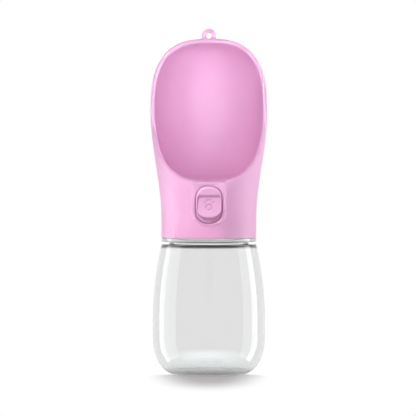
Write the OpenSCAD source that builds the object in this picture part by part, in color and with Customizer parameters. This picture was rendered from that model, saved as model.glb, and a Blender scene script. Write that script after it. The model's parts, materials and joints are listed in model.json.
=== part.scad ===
// Travel water bottle for a dog, in millimetres: a clear bottle that screws into a scooped drinking head.
// Z is up, the drinking side faces -Y, and the origin is the centre of the base.

/* [Bottle] */
// Radius of the flat ring that the bottle stands on
foot_r = 19.3; // [17:0.1:22]
// Radius of the hollow under the base
punt_r = 13; // [8:0.5:15]
// Depth of the hollow under the base
punt_h = 0.8; // [0.4:0.1:1.4]
// Largest outer radius of the bottle
belly_r = 34.8; // [33:0.1:37]
// Height of the rounded base corner
base_h = 24; // [18:0.5:28]
// Height at which the bottle starts to narrow
taper_z = 36; // [30:0.5:45]
// Height of the shoulder
shoulder_z = 80.2; // [70:0.2:95]
// Outer radius at the shoulder
shoulder_r = 29.6; // [28:0.1:32]
// Radius of the shoulder's outer edge
shoulder_round = 1.4; // [0.6:0.1:2.5]
// Wall of the bottle
bottle_wall = 1.5; // [1.3:0.1:2.4]
// Thickness of the bottle's floor
bottle_floor = 1.8; // [1.4:0.1:3]
// Gap between the shoulder and the flange
waist_gap = 2.6; // [2:0.1:4]
// Outer radius of the waist in that gap
waist_r = 24.6; // [24.4:0.1:25.4]
// Outer radius of the flange that the head closes onto
flange_r = 29.35; // [28.5:0.05:29.5]
// Thickness of the flange
flange_t = 2.3; // [1.8:0.1:3]
// Outer radius of the neck above the flange
neck_r = 25; // [24.6:0.1:25.4]
// Height of the neck above the flange
neck_h = 8.9; // [8:0.1:12]
// Radius of the mouth
mouth_r = 22.2; // [21.6:0.1:22.6]

/* [Head shell] */
// Outer radius of the skirt round the neck
skirt_r = 29.5; // [29.3:0.1:30.5]
// Wall of the skirt and of the valve space
skirt_wall = 2.3; // [1.8:0.1:2.6]
// Height of the straight skirt
skirt_h = 11.7; // [8:0.1:14]
// Height of the widest line above the skirt's edge
widest_h = 78.2; // [70:0.2:90]
// Outer radius of the head at its widest line
head_r = 36.3; // [34.5:0.1:39]
// Height of the domed top above the widest line
dome_h = 45.4; // [38:0.2:52]
// Squareness of the dome, where 2 is an ellipse
dome_power = 2.7; // [2.2:0.1:3.2]
// Wall of the scoop at its widest line and dome
scoop_wall = 2.6; // [2:0.1:3.2]
// Wall of the scoop at the front lip
lip_wall = 1.9; // [1.6:0.1:2.4]
// Height of the front lip above the skirt's edge
lip_h = 34.7; // [33:0.1:38]
// How far in front of the axis the scoop's edge ends at the top
rim_front = 3; // [1:0.1:6]
// Height over which the scoop's edge falls back
rim_run = 18.5; // [14:0.1:24]
// Thickness of the scoop's floor
floor_t = 2.2; // [1.8:0.1:2.8]
// Radius of the drain hole in the scoop's floor
drain_r = 4; // [3:0.1:4.4]
// How far the drain hole lies behind the axis
drain_y = 7; // [6:0.1:9]

/* [Lanyard loop] */
// Outer radius of the loop
loop_r = 4.4; // [4:0.1:6]
// Radius of the hole in the loop
loop_hole_r = 1.8; // [1.5:0.1:2.5]
// Thickness of the loop from front to back
loop_t = 3; // [2:0.1:4]

/* [Button] */
// Width of the raised pod round the button
pod_w = 22.4; // [21.8:0.1:25]
// Distance of the pod's flat face from the axis
pod_face = 31; // [30.8:0.1:32]
// Height of the pod's curved lower end
pod_curve = 10.5; // [8:0.1:12]
// Material of the pod under the window
pod_margin = 2.5; // [2.2:0.1:4]
// Width of the window that the button fills
window_w = 17.3; // [16.6:0.1:18]
// Height of the window
window_h = 23.5; // [22.8:0.1:24]
// Corner radius of the window
window_round = 8; // [6:0.1:8.2]
// Gap between the window and the button
button_gap = 0.45; // [0.3:0.05:0.6]
// Depth of the button's face below the pod's face
button_sink = 1.7; // [1.4:0.05:1.8]
// Thickness of the button's plate
button_t = 1.8; // [1.6:0.05:2]
// Travel of the button
press = 2.5; // [1.5:0.1:2.6]
// Width of the thumb slide
thumb_w = 16.1; // [15:0.1:16.2]
// Height of the thumb slide
thumb_h = 20; // [18.5:0.1:20.2]
// Thickness of the thumb slide
thumb_t = 2.3; // [1.9:0.1:2.6]
// Height of the flat ledge at the top of the thumb slide
ledge_h = 5.15; // [3:0.05:7]
// Depth of the finger hollow below that ledge
hollow_d = 1.5; // [0.8:0.1:1.6]
// Travel of the thumb slide down to its locked place
lock_travel = 2.3; // [1.5:0.1:2.4]
// Width of the arm that pushes the valve down
arm_w = 8; // [5:0.1:8.4]

/* [Valve] */
// Thickness of the plate that closes the neck
plate_t = 2; // [1.8:0.1:2.6]
// Thickness of the seal on the neck
seal_t = 1.6; // [1.2:0.1:2.2]
// Depth of the water duct below the plate
duct_depth = 8; // [7.5:0.1:10]
// Inner radius of the water duct
duct_r = 6.5; // [6.2:0.1:6.8]
// Wall of the water duct
duct_wall = 1.5; // [1.2:0.1:1.8]
// How far the valve lies in front of the axis
valve_y = 8; // [7.4:0.1:8.4]
// Radius of the hole that the valve closes
seat_r = 5; // [4.4:0.1:5.4]
// Radius of the valve's stem
stem_r = 1.4; // [1.2:0.05:1.5]
// Thickness of the valve's rubber pad
pad_t = 2; // [1.5:0.1:2.5]
// Thickness of the duct's cover
cover_t = 2; // [2:0.1:2.6]
// Thickness of the gasket under the cover
gasket_t = 0.6; // [0.5:0.05:0.8]
// Outer radius of the riser under the drain hole
riser_r = 5.2; // [5.0:0.1:5.4]
// Radius of the dome that the arm pushes
knob_r = 2.2; // [2:0.1:2.4]

/* [Springs and screws] */
// Wire of both springs
wire = 0.5; // [0.4:0.05:0.55]
// Length of the valve's spring at rest
valve_spring_h = 5.8; // [5.6:0.1:7]
// Turns of the valve's spring
valve_spring_turns = 4; // [3:0.5:5]
// Turns of the button's spring
button_spring_turns = 6; // [4:0.5:7]
// Radius of the screws that hold the valve plate
plate_screw_r = 1.1; // [0.9:0.05:1.2]
// Radius of the screws that hold the duct's cover
cover_screw_r = 0.8; // [0.6:0.05:0.9]

/* [Hidden] */
$fn = 96;
// Clearances: cut overshoot, fits that slide, loose gaps and gaps between turning pieces
cut = 1;
slip = 0.05;
loose = 0.2;
running = 0.3;

// Heights up the neck and the valve plate
flange_z = shoulder_z + waist_gap;
flange_top = flange_z + flange_t;
neck_top = flange_top + neck_h;
plate_z = neck_top + seal_t;
plate_top = plate_z + plate_t;

// Head shell heights, counted from the skirt's lower edge
skirt_z = flange_top + loose;
flare_z = skirt_z + skirt_h;
widest_z = skirt_z + widest_h;
dome_top = widest_z + dome_h;
lip_z = skirt_z + lip_h;
socket_r = skirt_r - skirt_wall;
turn_z = lip_z + 4;

// The valve's own stack, from the plate up to the underside of the scoop's floor
washer_t = 0.4;
washer_top = plate_top + washer_t;
cap_t = 0.8;
cap_z = washer_top + valve_spring_h;
cap_r = knob_r + 0.8;
knob_z = cap_z + 2 * cap_t;
stem_top = knob_z - 0.2;
duct_z = plate_z - duct_depth;
seat_t = 1.5;
pad_r = seat_r + 2.4;
stem_head_t = 1.2;
stem_head_r = seat_r + 1;

// The arm's 45 degree ramp stays this far above the valve's axis point to touch the knob
ramp_rise = knob_z + (knob_r + slip) * sqrt(2);
arm_z = cap_z - 0.2;
arm_top = knob_z + knob_r + 2.9;
floor_under = arm_top + 0.8;
floor_z = floor_under + floor_t;

// Button places, counted from the lip and the pod's face
window_z = lip_z - 1.6 - window_h / 2;
button_face = pod_face - button_sink;
button_back = button_face - button_t;
button_w = window_w - 2 * button_gap;
button_h = window_h - 2 * button_gap;
thumb_z = window_z + button_h / 2 - 0.2 - thumb_h / 2;
pocket_back = button_back - press - 0.6;
wing_lip = 2.7;
wing_t = 1.3;
wing_side = 1.3;
wing_h = 14;
flange_side = 0.8;
leg_x = 5.8;
leg_w = 2;
leg_h = 6;
barb_t = 1;
barb_w = 0.8;
leg_tip = button_back - slip - barb_t;

// Springs
valve_coil_r = stem_r + 0.95;
button_coil_r = 1.95;
button_spring_z = plate_top + button_coil_r + wire / 2 + 0.5;
spigot_r = button_coil_r - wire / 2 - running;
post_t = 2;
post_y = valve_y + 9.5;
post_h = arm_z - plate_top - 0.8;

// Screws
plate_screw_x = 15.6;
plate_screw_y = 6.5;
plate_screw_l = 9;
plate_screw_head = 2;
boss_r = 3.2;
cover_screw_x = 9;
cover_screw_y = [-valve_y + 1.5, drain_y - 1.5];
cover_screw_l = 5.6;
cover_screw_head = 1.5;
cover_r = cover_screw_x + cover_screw_r + 0.9;
ledge_wall = 1.5;

// Duct seals
seal_ring_r = 0.6;
riser_top = floor_under - 1.5;
riser_ring_r = 0.65;
riser_ring_z = riser_top - 3;
collar_r = riser_r + 2 * riser_ring_r + 1.9;

// Points along an arc of radius r round [x, y], from angle a to angle b
function arc(x, y, r, a, b, n) = [for (i = [0:n]) let (t = a + (b - a) * i / n) [x + r * cos(t), y + r * sin(t)]];

// A quarter of a superellipse from [0, 0] up to [w, h], level at its start
function corner(w, h, power, n) = [for (i = [0:n]) let (t = 90 * i / n)
    [w * pow(sin(t), 2 / power), h * (1 - pow(cos(t), 2 / power))]];

// Every point of a list moved by v
function moved(points, v) = [for (p = points) p + v];

// A list in the opposite order
function reversed(points) = [for (i = [len(points) - 1:-1:0]) points[i]];

// An S-shaped step from 0 to 1
function ease(t) = t * t * (3 - 2 * t);

// Outer radius of the bottle's body at height z above the straight belly
function body_r(z) = belly_r - (belly_r - shoulder_r) * pow((z - taper_z) / (shoulder_z - shoulder_round - taper_z), 1.9);

// Outer radius of the head between the skirt and the widest line
function shell_r(z) = skirt_r + (head_r - skirt_r) * ease(max(0, (z - flare_z) / (widest_z - flare_z)));

// Inner radius of the scoop between its floor and the widest line
function scoop_r(z) = shell_r(z) - lip_wall - (scoop_wall - lip_wall) * (z - turn_z) / (widest_z - turn_z);

// The scoop's dished floor, from the axis out to where the wall stands upright
function dish(n) = moved(corner(scoop_r(turn_z), turn_z - floor_z, 1.5, n), [0, floor_z]);

// How far in front of the axis the scoop's edge lies at height z
function rim_y(z) = rim_front + (shell_r(lip_z) - rim_front) * exp((lip_z - z) / rim_run);

function dome(r, h, n) = [for (i = [0:n]) let (t = 90 * i / n)
    [r * pow(cos(t), 2 / dome_power), widest_z + h * pow(sin(t), 2 / dome_power)]];

// A coil of wire of mean radius r, standing from z = 0 to z = h, as points and faces of a swept tube
module coil(r, h, turns) {
    rings = 8;
    sides = 6;
    steps = ceil(rings * turns);
    low = wire / 2 + slip;
    rise = (h - 2 * low) / steps;
    lean = atan2(rise * rings, 2 * PI * r);
    points = [for (i = [0:steps], k = [0:sides - 1])
        let (a = 360 * i / rings, b = 360 * k / sides, out = r + wire / 2 * cos(b), up = wire / 2 * sin(b))
        [out * cos(a) + up * sin(lean) * sin(a), out * sin(a) - up * sin(lean) * cos(a),
            low + rise * i + up * cos(lean)]];
    last = steps * sides;
    faces = concat(
        [for (i = [0:steps - 1], k = [0:sides - 1]) let (a = i * sides + k, b = i * sides + (k + 1) % sides)
            [a, a + sides, b]],
        [for (i = [0:steps - 1], k = [0:sides - 1]) let (a = i * sides + k, b = i * sides + (k + 1) % sides)
            [b, a + sides, b + sides]],
        [for (k = [1:sides - 2]) [0, k, k + 1]],
        [for (k = [1:sides - 2]) [last, last + k + 1, last + k]]);
    polyhedron(points, faces);
}

// A plate with round corners that stands across Y, from y = front back to y = back, both counted towards -Y
module panel(w, h, r, front, back) {
    translate([0, -back, 0])
        rotate([90, 0, 0]) {
            translate([-w / 2 + r, -h / 2, 0])
                cube([w - 2 * r, h, front - back]);
            translate([-w / 2, -h / 2 + r, 0])
                cube([w, h - 2 * r, front - back]);
            for (x = [-1, 1], y = [-1, 1])
                translate([x * (w / 2 - r), y * (h / 2 - r), 0])
                    cylinder(r = r, h = front - back);
        }
}

// An upright slab with round ends that holds both the valve's axis and the drain's axis
module duct_slab(r, z, h) {
    translate([0, -valve_y, z])
        cylinder(r = r, h = h);
    translate([0, drain_y, z])
        cylinder(r = r, h = h);
    translate([-r, -valve_y, z])
        cube([2 * r, valve_y + drain_y, h]);
}

// A block between two corners
module block(low, high) {
    translate(low)
        cube(high - low);
}

module at_plate_screws() {
    for (x = [-1, 1], y = [-1, 1])
        translate([x * plate_screw_x, y * plate_screw_y, 0])
            children();
}

module at_cover_screws() {
    for (x = [-1, 1], y = cover_screw_y)
        translate([x * cover_screw_x, y, 0])
            children();
}

// A pan-head screw with its head below z = 0 and its shank going up, with a cross recess
module screw(r, head_r, length) {
    head_t = 0.7 * head_r;
    cylinder(r = r, h = length);
    difference() {
        translate([0, 0, -head_t])
            cylinder(r = head_r, h = head_t);
        for (a = [0, 90])
            rotate([0, 0, a])
                translate([0, 0, -head_t])
                    cube([1.3 * head_r, 0.3 * head_r, head_t], center = true);
    }
}

module bottle() {
    r_round = 1.2;
    shoulder = shoulder_z - shoulder_round;
    inner_top = shoulder_z - bottle_wall;
    base_curve = corner(belly_r - foot_r, base_h, 2.1, 12);
    inner_base = corner(belly_r - bottle_wall - foot_r, base_h - bottle_floor, 2.1, 12);
    punt = [for (i = [0:6]) let (t = i / 6) [punt_r * t, punt_h * (1 - t * t)]];
    outer = concat(
        punt,
        moved(base_curve, [foot_r, 0]),
        [for (i = [0:12]) let (z = taper_z + (shoulder - taper_z) * i / 12) [body_r(z), z]],
        arc(shoulder_r - shoulder_round, shoulder, shoulder_round, 15, 90, 4),
        arc(waist_r + r_round, shoulder_z + r_round, r_round, 270, 180, 4),
        arc(flange_r - 1, flange_z + 1, 1, -90, 0, 4),
        [[flange_r, flange_top], [neck_r, flange_top], [neck_r, neck_top - 0.4], [neck_r - 0.4, neck_top]]);
    inner = concat(
        moved(punt, [0, bottle_floor]),
        moved(inner_base, [foot_r, bottle_floor]),
        [for (i = [0:12]) let (z = taper_z + (inner_top - 1.5 - taper_z) * i / 12) [body_r(z) - bottle_wall, z]],
        arc(body_r(inner_top - 1.5) - bottle_wall - 1.5, inner_top - 1.5, 1.5, 15, 90, 4),
        arc(mouth_r + 1.5, inner_top + 1.5, 1.5, 270, 180, 4),
        [[mouth_r, neck_top - 0.4], [mouth_r + 0.4, neck_top]]);
    color([0.93, 0.94, 0.95, 0.4])
        rotate_extrude()
            polygon(concat(outer, reversed(inner)));
}

module bottle_seal() {
    color("whitesmoke")
        difference() {
            translate([0, 0, neck_top])
                cylinder(r = neck_r - 0.4, h = seal_t);
            translate([0, 0, neck_top - cut])
                cylinder(r = mouth_r - 0.4, h = seal_t + 2 * cut);
        }
}

// The outside of the head as a solid of revolution
module head_outside() {
    rotate_extrude()
        polygon(concat(
            [[0, skirt_z], [skirt_r, skirt_z]],
            [for (i = [0:16]) let (z = flare_z + (widest_z - flare_z) * i / 16) [shell_r(z), z]],
            [for (p = dome(head_r, dome_h, 20)) if (p[1] > widest_z) p]));
}

// The space that the drinking water fills
module scoop() {
    rotate_extrude()
        polygon(concat(
            dish(16),
            [for (i = [1:12]) let (z = turn_z + (widest_z - turn_z) * i / 12) [scoop_r(z), z]],
            [for (p = dome(head_r - scoop_wall, dome_h - scoop_wall, 20)) if (p[1] > widest_z) p]));
}

// The open socket for the neck and the valve, closed above by the underside of the dished floor
module valve_space() {
    under = [for (p = dish(16)) if (p[0] < scoop_r(turn_z) - 2.6) p - [0, floor_t]];
    top = under[len(under) - 1][1];
    rotate_extrude()
        polygon(concat(
            [[0, skirt_z - cut], [socket_r, skirt_z - cut], [socket_r, flare_z]],
            [for (i = [1:6]) let (z = flare_z + (top - flare_z) * i / 6) [shell_r(z) - skirt_wall, z]],
            reversed(under)));
}

// What is cut away in front of the scoop's curved edge
module scoop_front() {
    top = dome_top + loop_r * 2 + cut;
    far = head_r + cut;
    rise = dome_top - lip_z + cut;
    rotate([90, 0, 90])
        linear_extrude(2 * far, center = true)
            polygon(concat(
                [[-far, lip_z]],
                [for (i = [0:18]) let (z = lip_z + rise * pow(i / 18, 1.6)) [-rim_y(z), z]],
                [[-rim_y(dome_top), top], [-far, top]]));
}

// The raised pod round the button, upright at its sides and curved below
module pod() {
    low = window_z - window_h / 2 - pod_margin;
    rotate([90, 0, 0])
        translate([0, 0, pod_face - 5])
            linear_extrude(5)
                polygon(concat(
                    [[pod_w / 2, lip_z], [-pod_w / 2, lip_z]],
                    [for (i = [0:16]) let (t = 180 + 180 * i / 16)
                        [pod_w / 2 * cos(t), low + pod_curve * (1 - pow(-sin(t), 0.85))]]));
}

module lanyard_loop() {
    hole_z = dome_top + loop_hole_r + slip;
    foot = loop_r + 1.6;
    rotate([90, 0, 0])
        translate([0, 0, -loop_t / 2])
            difference() {
                union() {
                    translate([0, hole_z, 0])
                        cylinder(r = loop_r, h = loop_t);
                    linear_extrude(loop_t)
                        polygon([[-foot, dome_top - 1.4], [foot, dome_top - 1.4], [foot, dome_top - 0.4],
                            [loop_r - 0.3, dome_top + 0.5], [-loop_r + 0.3, dome_top + 0.5],
                            [-foot, dome_top - 0.4]]);
                }
                translate([0, hole_z, -cut])
                    cylinder(r = loop_hole_r, h = loop_t + 2 * cut);
            }
}

module head_shell() {
    color([0.98, 0.76, 0.92])
        difference() {
            union() {
                difference() {
                    union() {
                        head_outside();
                        pod();
                    }
                    valve_space();
                }
                at_plate_screws()
                    translate([0, 0, plate_top])
                        cylinder(r = boss_r, h = floor_z - plate_top);
                for (a = [atan2(plate_screw_y, plate_screw_x), 180 - atan2(plate_screw_y, plate_screw_x)], b = [0, 180])
                    rotate([0, 0, a + b])
                        block([plate_screw_x + 1.3 + boss_r / 2, -0.7, plate_top + 3], [socket_r + 1, 0.7, floor_z]);
                translate([0, drain_y, riser_ring_z - 3])
                    cylinder(r = collar_r, h = floor_z - riser_ring_z + 3);
                lanyard_loop();
            }
            scoop();
            scoop_front();
            at_plate_screws()
                translate([0, 0, plate_top - cut])
                    cylinder(r = plate_screw_r + slip, h = plate_screw_l - plate_t + cut + 0.5);
            translate([0, drain_y, riser_ring_z - 3 - cut])
                cylinder(r = collar_r - 1.8, h = riser_top + running - riser_ring_z + 3 + cut);
            translate([0, drain_y, riser_top])
                cylinder(r = drain_r, h = floor_t + 4 * cut);
            translate([0, 0, window_z])
                panel(window_w, window_h, window_round, pod_face + cut, pocket_back);
            block([-window_w / 2 - wing_side + 0.2, -pod_face + wing_lip, window_z - wing_h / 2 - running],
                [window_w / 2 + wing_side - 0.2, -pocket_back, window_z + wing_h / 2 + running]);
        }
}

module valve_body() {
    seat_h = 4.4;
    rim_h = 3.1;
    rim_r = mouth_r - 0.5;
    stop_t = 1.6;
    color("white")
        difference() {
            union() {
                intersection() {
                    translate([0, 0, plate_z])
                        cylinder(r = socket_r - 0.4, h = plate_t);
                    block([-head_r, -pocket_back - 0.3, plate_z - cut], [head_r, head_r, plate_top + cut]);
                }
                difference() {
                    translate([0, 0, plate_z - rim_h])
                        cylinder(r = rim_r, h = rim_h + plate_t / 2);
                    translate([0, 0, plate_z - rim_h - cut])
                        cylinder(r = rim_r - ledge_wall, h = rim_h + cut);
                }
                duct_slab(cover_r + 0.2 + ledge_wall, plate_z - seat_h, seat_h + plate_t / 2);
                duct_slab(duct_r + duct_wall, duct_z, duct_depth);
                for (x = [-1, 1])
                    translate([x * (leg_x + 0.4), -leg_tip + press + running, plate_top - 0.5])
                        block([-1.5, 0, 0], [1.5, stop_t, window_z - leg_h / 2 - plate_top + loose]);
            }
            duct_slab(cover_r + 0.2, plate_top - cover_t - gasket_t, cover_t + gasket_t + cut);
            duct_slab(duct_r, duct_z + seat_t, duct_depth);
            translate([0, -valve_y, duct_z - cut])
                cylinder(r = seat_r, h = seat_t + 2 * cut);
            at_plate_screws()
                translate([0, 0, plate_z - cut])
                    cylinder(r = plate_screw_r + 0.25, h = plate_t + 2 * cut);
            at_cover_screws()
                translate([0, 0, plate_top + slip - cover_screw_l - 0.3])
                    cylinder(r = cover_screw_r + slip, h = cover_screw_l);
        }
}

module duct_gasket() {
    color("lightgray")
        difference() {
            duct_slab(duct_r + 1.1, plate_top - cover_t - gasket_t, gasket_t);
            duct_slab(duct_r + 0.1, plate_top - cover_t - gasket_t - cut, gasket_t + 2 * cut);
        }
}

module duct_cover() {
    guide_h = 3;
    cover_z = plate_top - cover_t;
    gland_r = stem_r + 2 * seal_ring_r + 0.15;
    color("white")
        difference() {
            union() {
                duct_slab(cover_r, cover_z, cover_t);
                translate([0, -valve_y, cover_z - guide_h])
                    cylinder(r = stem_r + 1.8, h = guide_h + cut);
                translate([0, drain_y, cover_z])
                    cylinder(r = riser_r + 1, h = riser_ring_z - riser_ring_r - slip - cover_z);
                translate([0, drain_y, cover_z])
                    cylinder(r = riser_r, h = riser_top - cover_z);
                block([-arm_w / 2 + 1, -post_y, plate_top - cut], [arm_w / 2 - 1, -post_y + post_t, plate_top + post_h]);
                translate([0, -post_y + cut, button_spring_z])
                    rotate([90, 0, 0])
                        cylinder(r = spigot_r, h = 1.5 + cut);
            }
            translate([0, -valve_y, cover_z - guide_h - cut])
                cylinder(r = stem_r + slip, h = guide_h + cover_t + 2 * cut);
            translate([0, -valve_y, plate_top - 2 * seal_ring_r - 0.5])
                cylinder(r = gland_r, h = 2 * seal_ring_r + 0.5 + cut);
            translate([0, drain_y, cover_z - cut])
                cylinder(r = drain_r, h = riser_top - cover_z + 2 * cut);
            at_cover_screws()
                translate([0, 0, cover_z - cut])
                    cylinder(r = cover_screw_r + 0.15, h = cover_t + 2 * cut);
        }
}

module o_ring(inner_r, ring_r) {
    rotate_extrude()
        translate([inner_r + ring_r, 0, 0])
            circle(r = ring_r, $fn = 32);
}

module stem_seal() {
    color("dimgray")
        translate([0, -valve_y, plate_top - seal_ring_r - 0.45])
            o_ring(stem_r + slip, seal_ring_r);
}

module riser_seal() {
    color("dimgray")
        translate([0, drain_y, riser_ring_z])
            o_ring(riser_r + slip, riser_ring_r);
}

module spring_washer() {
    color("silver")
        translate([0, -valve_y, plate_top])
            difference() {
                cylinder(r = valve_coil_r + wire / 2 + 0.8, h = washer_t);
                translate([0, 0, -cut])
                    cylinder(r = stem_r + 0.1, h = washer_t + 2 * cut);
            }
}

module valve_spring() {
    color("silver")
        translate([0, -valve_y, washer_top])
            coil(valve_coil_r, valve_spring_h, valve_spring_turns);
}

module valve_stem() {
    pad_z = duct_z - pad_t;
    color("white")
        translate([0, -valve_y, 0]) {
            translate([0, 0, pad_z - stem_head_t])
                cylinder(r = stem_r, h = stem_top - pad_z + stem_head_t);
            translate([0, 0, pad_z - stem_head_t])
                cylinder(r = stem_head_r, h = stem_head_t);
            translate([0, 0, duct_z])
                cylinder(r = stem_r + 0.9, h = 0.8);
        }
}

module valve_pad() {
    color("dimgray")
        translate([0, -valve_y, duct_z - pad_t])
            difference() {
                cylinder(r = pad_r, h = pad_t);
                translate([0, 0, -cut])
                    cylinder(r = stem_r + slip, h = pad_t + 2 * cut);
            }
}

module stem_cap() {
    color("white")
        translate([0, -valve_y, 0])
            difference() {
                union() {
                    translate([0, 0, cap_z])
                        cylinder(r = cap_r, h = cap_t);
                    translate([0, 0, cap_z])
                        cylinder(r = knob_r, h = knob_z - cap_z);
                    translate([0, 0, knob_z])
                        sphere(r = knob_r);
                }
                translate([0, 0, cap_z - knob_r - cut])
                    cylinder(r = stem_r + slip, h = stem_top + slip - cap_z + knob_r + cut);
                translate([0, 0, cap_z - knob_r - cut])
                    cylinder(r = cap_r + cut, h = knob_r + cut);
            }
}

// The arm seen from the side: level underneath, then the 45 degree ramp that rides on the knob
module push_arm() {
    tip = valve_y + 0.3;
    rotate([90, 0, 90])
        linear_extrude(arm_w, center = true)
            polygon([[-button_back - 0.5, arm_z], [arm_z - ramp_rise - valve_y, arm_z],
                [-tip, ramp_rise - tip + valve_y], [-tip, arm_top - 1.2],
                [-tip - 1.2, arm_top], [-button_back - 0.5, arm_top]]);
}

module push_button() {
    slot_low = window_z - leg_h / 2 - lock_travel;
    color([0.93, 0.68, 0.85])
        difference() {
            union() {
                translate([0, 0, window_z])
                    panel(button_w, button_h, window_round - button_gap, button_face, button_back);
                block([-window_w / 2 - wing_side + 0.5, -pod_face + wing_lip + slip, window_z - wing_h / 2],
                    [window_w / 2 + wing_side - 0.5, -button_back, window_z + wing_h / 2]);
                for (x = [-1, 1])
                    translate([x * (window_w / 2 + wing_side - 1.4), 0, window_z])
                        block([-flange_side, -button_back - cut / 2, -wing_h / 2],
                            [flange_side, -pod_face + wing_lip + slip + wing_t, wing_h / 2]);
                push_arm();
                translate([0, -button_back - cut, button_spring_z])
                    rotate([-90, 0, 0])
                        cylinder(r = spigot_r, h = 1.5 + cut);
            }
            for (x = [-1, 1])
                translate([x * leg_x, 0, 0])
                    block([-leg_w / 2 - 0.1, -button_face - cut, slot_low - 0.1],
                        [leg_w / 2 + 0.1, -button_back + cut, window_z + leg_h / 2 + 0.1]);
        }
}

module lock_slider() {
    side = 0.7;
    step_z = thumb_z + thumb_h / 2 - ledge_h;
    deep_z = step_z - 3.1;
    low_z = thumb_z - thumb_h / 2 + 1.5;
    hollow_r = pow(deep_z - low_z, 2) / (2 * hollow_d) + hollow_d / 2;
    thumb_face = button_face + slip + thumb_t;
    color([0.98, 0.74, 0.91]) {
        difference() {
            translate([0, 0, thumb_z])
                panel(thumb_w, thumb_h, window_round - 0.6, thumb_face, button_face + slip);
            intersection() {
                translate([0, -thumb_face - hollow_r + hollow_d, deep_z])
                    rotate([0, 90, 0])
                        cylinder(r = hollow_r, h = thumb_w - 2 * side, center = true);
                block([-thumb_w, -pod_face - thumb_t - cut, low_z - cut], [thumb_w, -button_face, step_z]);
            }
        }
        for (x = [-1, 1])
            translate([x * leg_x, 0, window_z])
                union() {
                    block([-leg_w / 2, -button_face - slip - cut / 2, -leg_h / 2], [leg_w / 2, -leg_tip, leg_h / 2]);
                    block([x > 0 ? -cut / 2 : -leg_w / 2 - barb_w, -leg_tip - barb_t, -leg_h / 2],
                        [x > 0 ? leg_w / 2 + barb_w : cut / 2, -leg_tip, leg_h / 2]);
                }
    }
}

module button_spring() {
    color("silver")
        translate([0, -button_back, button_spring_z])
            rotate([-90, 0, 0])
                coil(button_coil_r, button_back - post_y, button_spring_turns);
}

module plate_screws() {
    color("silver")
        at_plate_screws()
            translate([0, 0, plate_z])
                screw(plate_screw_r, plate_screw_head, plate_screw_l);
}

module cover_screws() {
    color("silver")
        at_cover_screws()
            translate([0, 0, plate_top])
                rotate([180, 0, 0])
                    screw(cover_screw_r, cover_screw_head, cover_screw_l - 0.3);
}

bottle();
bottle_seal();
head_shell();
valve_body();
duct_gasket();
duct_cover();
stem_seal();
riser_seal();
spring_washer();
valve_spring();
valve_stem();
valve_pad();
stem_cap();
push_button();
lock_slider();
button_spring();
plate_screws();
cover_screws();
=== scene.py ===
"""Looks, light and camera for a dog's travel water bottle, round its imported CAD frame.

The pink mouldings are built as signed distance fields in millimetres, so that their rims, window and
pod have the soft edges of real moulded plastic, and the clear bottle is a lathed shell with its thread.
"""

import json
import logging
import math
from dataclasses import dataclass, field
from enum import Enum
from typing import Callable, Sequence

import bpy
import numpy as np
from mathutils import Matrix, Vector

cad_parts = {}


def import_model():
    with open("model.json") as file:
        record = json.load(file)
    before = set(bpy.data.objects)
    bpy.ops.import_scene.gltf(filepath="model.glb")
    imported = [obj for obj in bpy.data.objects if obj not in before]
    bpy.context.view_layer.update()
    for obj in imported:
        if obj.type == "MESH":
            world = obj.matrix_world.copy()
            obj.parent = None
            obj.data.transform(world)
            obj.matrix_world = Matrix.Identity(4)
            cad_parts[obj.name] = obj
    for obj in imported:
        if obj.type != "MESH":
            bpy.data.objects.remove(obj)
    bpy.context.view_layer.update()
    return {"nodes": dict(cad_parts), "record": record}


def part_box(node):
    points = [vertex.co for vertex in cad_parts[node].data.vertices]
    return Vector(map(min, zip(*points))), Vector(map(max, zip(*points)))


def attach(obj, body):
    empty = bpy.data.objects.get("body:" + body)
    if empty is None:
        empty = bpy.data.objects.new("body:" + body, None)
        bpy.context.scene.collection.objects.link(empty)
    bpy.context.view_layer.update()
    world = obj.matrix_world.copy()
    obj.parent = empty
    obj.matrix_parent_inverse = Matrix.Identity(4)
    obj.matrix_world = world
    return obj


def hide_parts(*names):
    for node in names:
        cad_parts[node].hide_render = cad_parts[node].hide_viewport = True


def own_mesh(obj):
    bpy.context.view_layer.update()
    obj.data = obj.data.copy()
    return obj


log = logging.getLogger("bottle")

MM = 0.001

# How the meshes of distance fields are settled, in millimetres but for the rounds and the least slope
SETTLE_ROUNDS = 4
SETTLE_REACH = 0.03
SETTLE_STEP = 0.25
SETTLE_FLAT = 0.2
NORMAL_REACH = 0.12
# Edges sharper than this many degrees stay sharp
SHARP = 38

Array = np.ndarray
Field = Callable[[Array, Array, Array], Array]


class Slot(str, Enum):
    """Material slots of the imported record."""

    CLEAR = "clear_plastic"
    PINK = "pink_plastic"
    BUTTON = "button_pink"
    WHITE = "white_plastic"
    SILICONE = "silicone"
    RUBBER = "black_rubber"
    STEEL = "steel"


# ---------------------------------------------------------------- plane curves


def arc(x: float, y: float, radius: float, start: float, end: float, steps: int) -> Array:
    """Points along an arc.

    Args:
        x, y: centre of the arc.
        radius: its radius.
        start, end: its angles in degrees.
        steps: number of chords.

    Returns:
        An array of steps + 1 points.
    """
    angle = np.radians(np.linspace(start, end, steps + 1))
    return np.column_stack([x + radius * np.cos(angle), y + radius * np.sin(angle)])


def corner(width: float, height: float, power: float, steps: int) -> Array:
    """A quarter of a superellipse from (0, 0) up to (width, height), level at its start.

    Args:
        width, height: the corner's reach.
        power: 2 for an ellipse, and more for a squarer corner.
        steps: number of chords.

    Returns:
        An array of steps + 1 points.
    """
    angle = np.linspace(0, math.pi / 2, steps + 1)
    across = width * np.sin(angle) ** (2 / power)
    up = height * (1 - np.clip(np.cos(angle), 0, 1) ** (2 / power))
    return np.column_stack([across, up])


def ease(share: Array) -> Array:
    """An S-shaped step from 0 to 1."""
    share = np.clip(share, 0, 1)
    return share * share * (3 - 2 * share)


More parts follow.
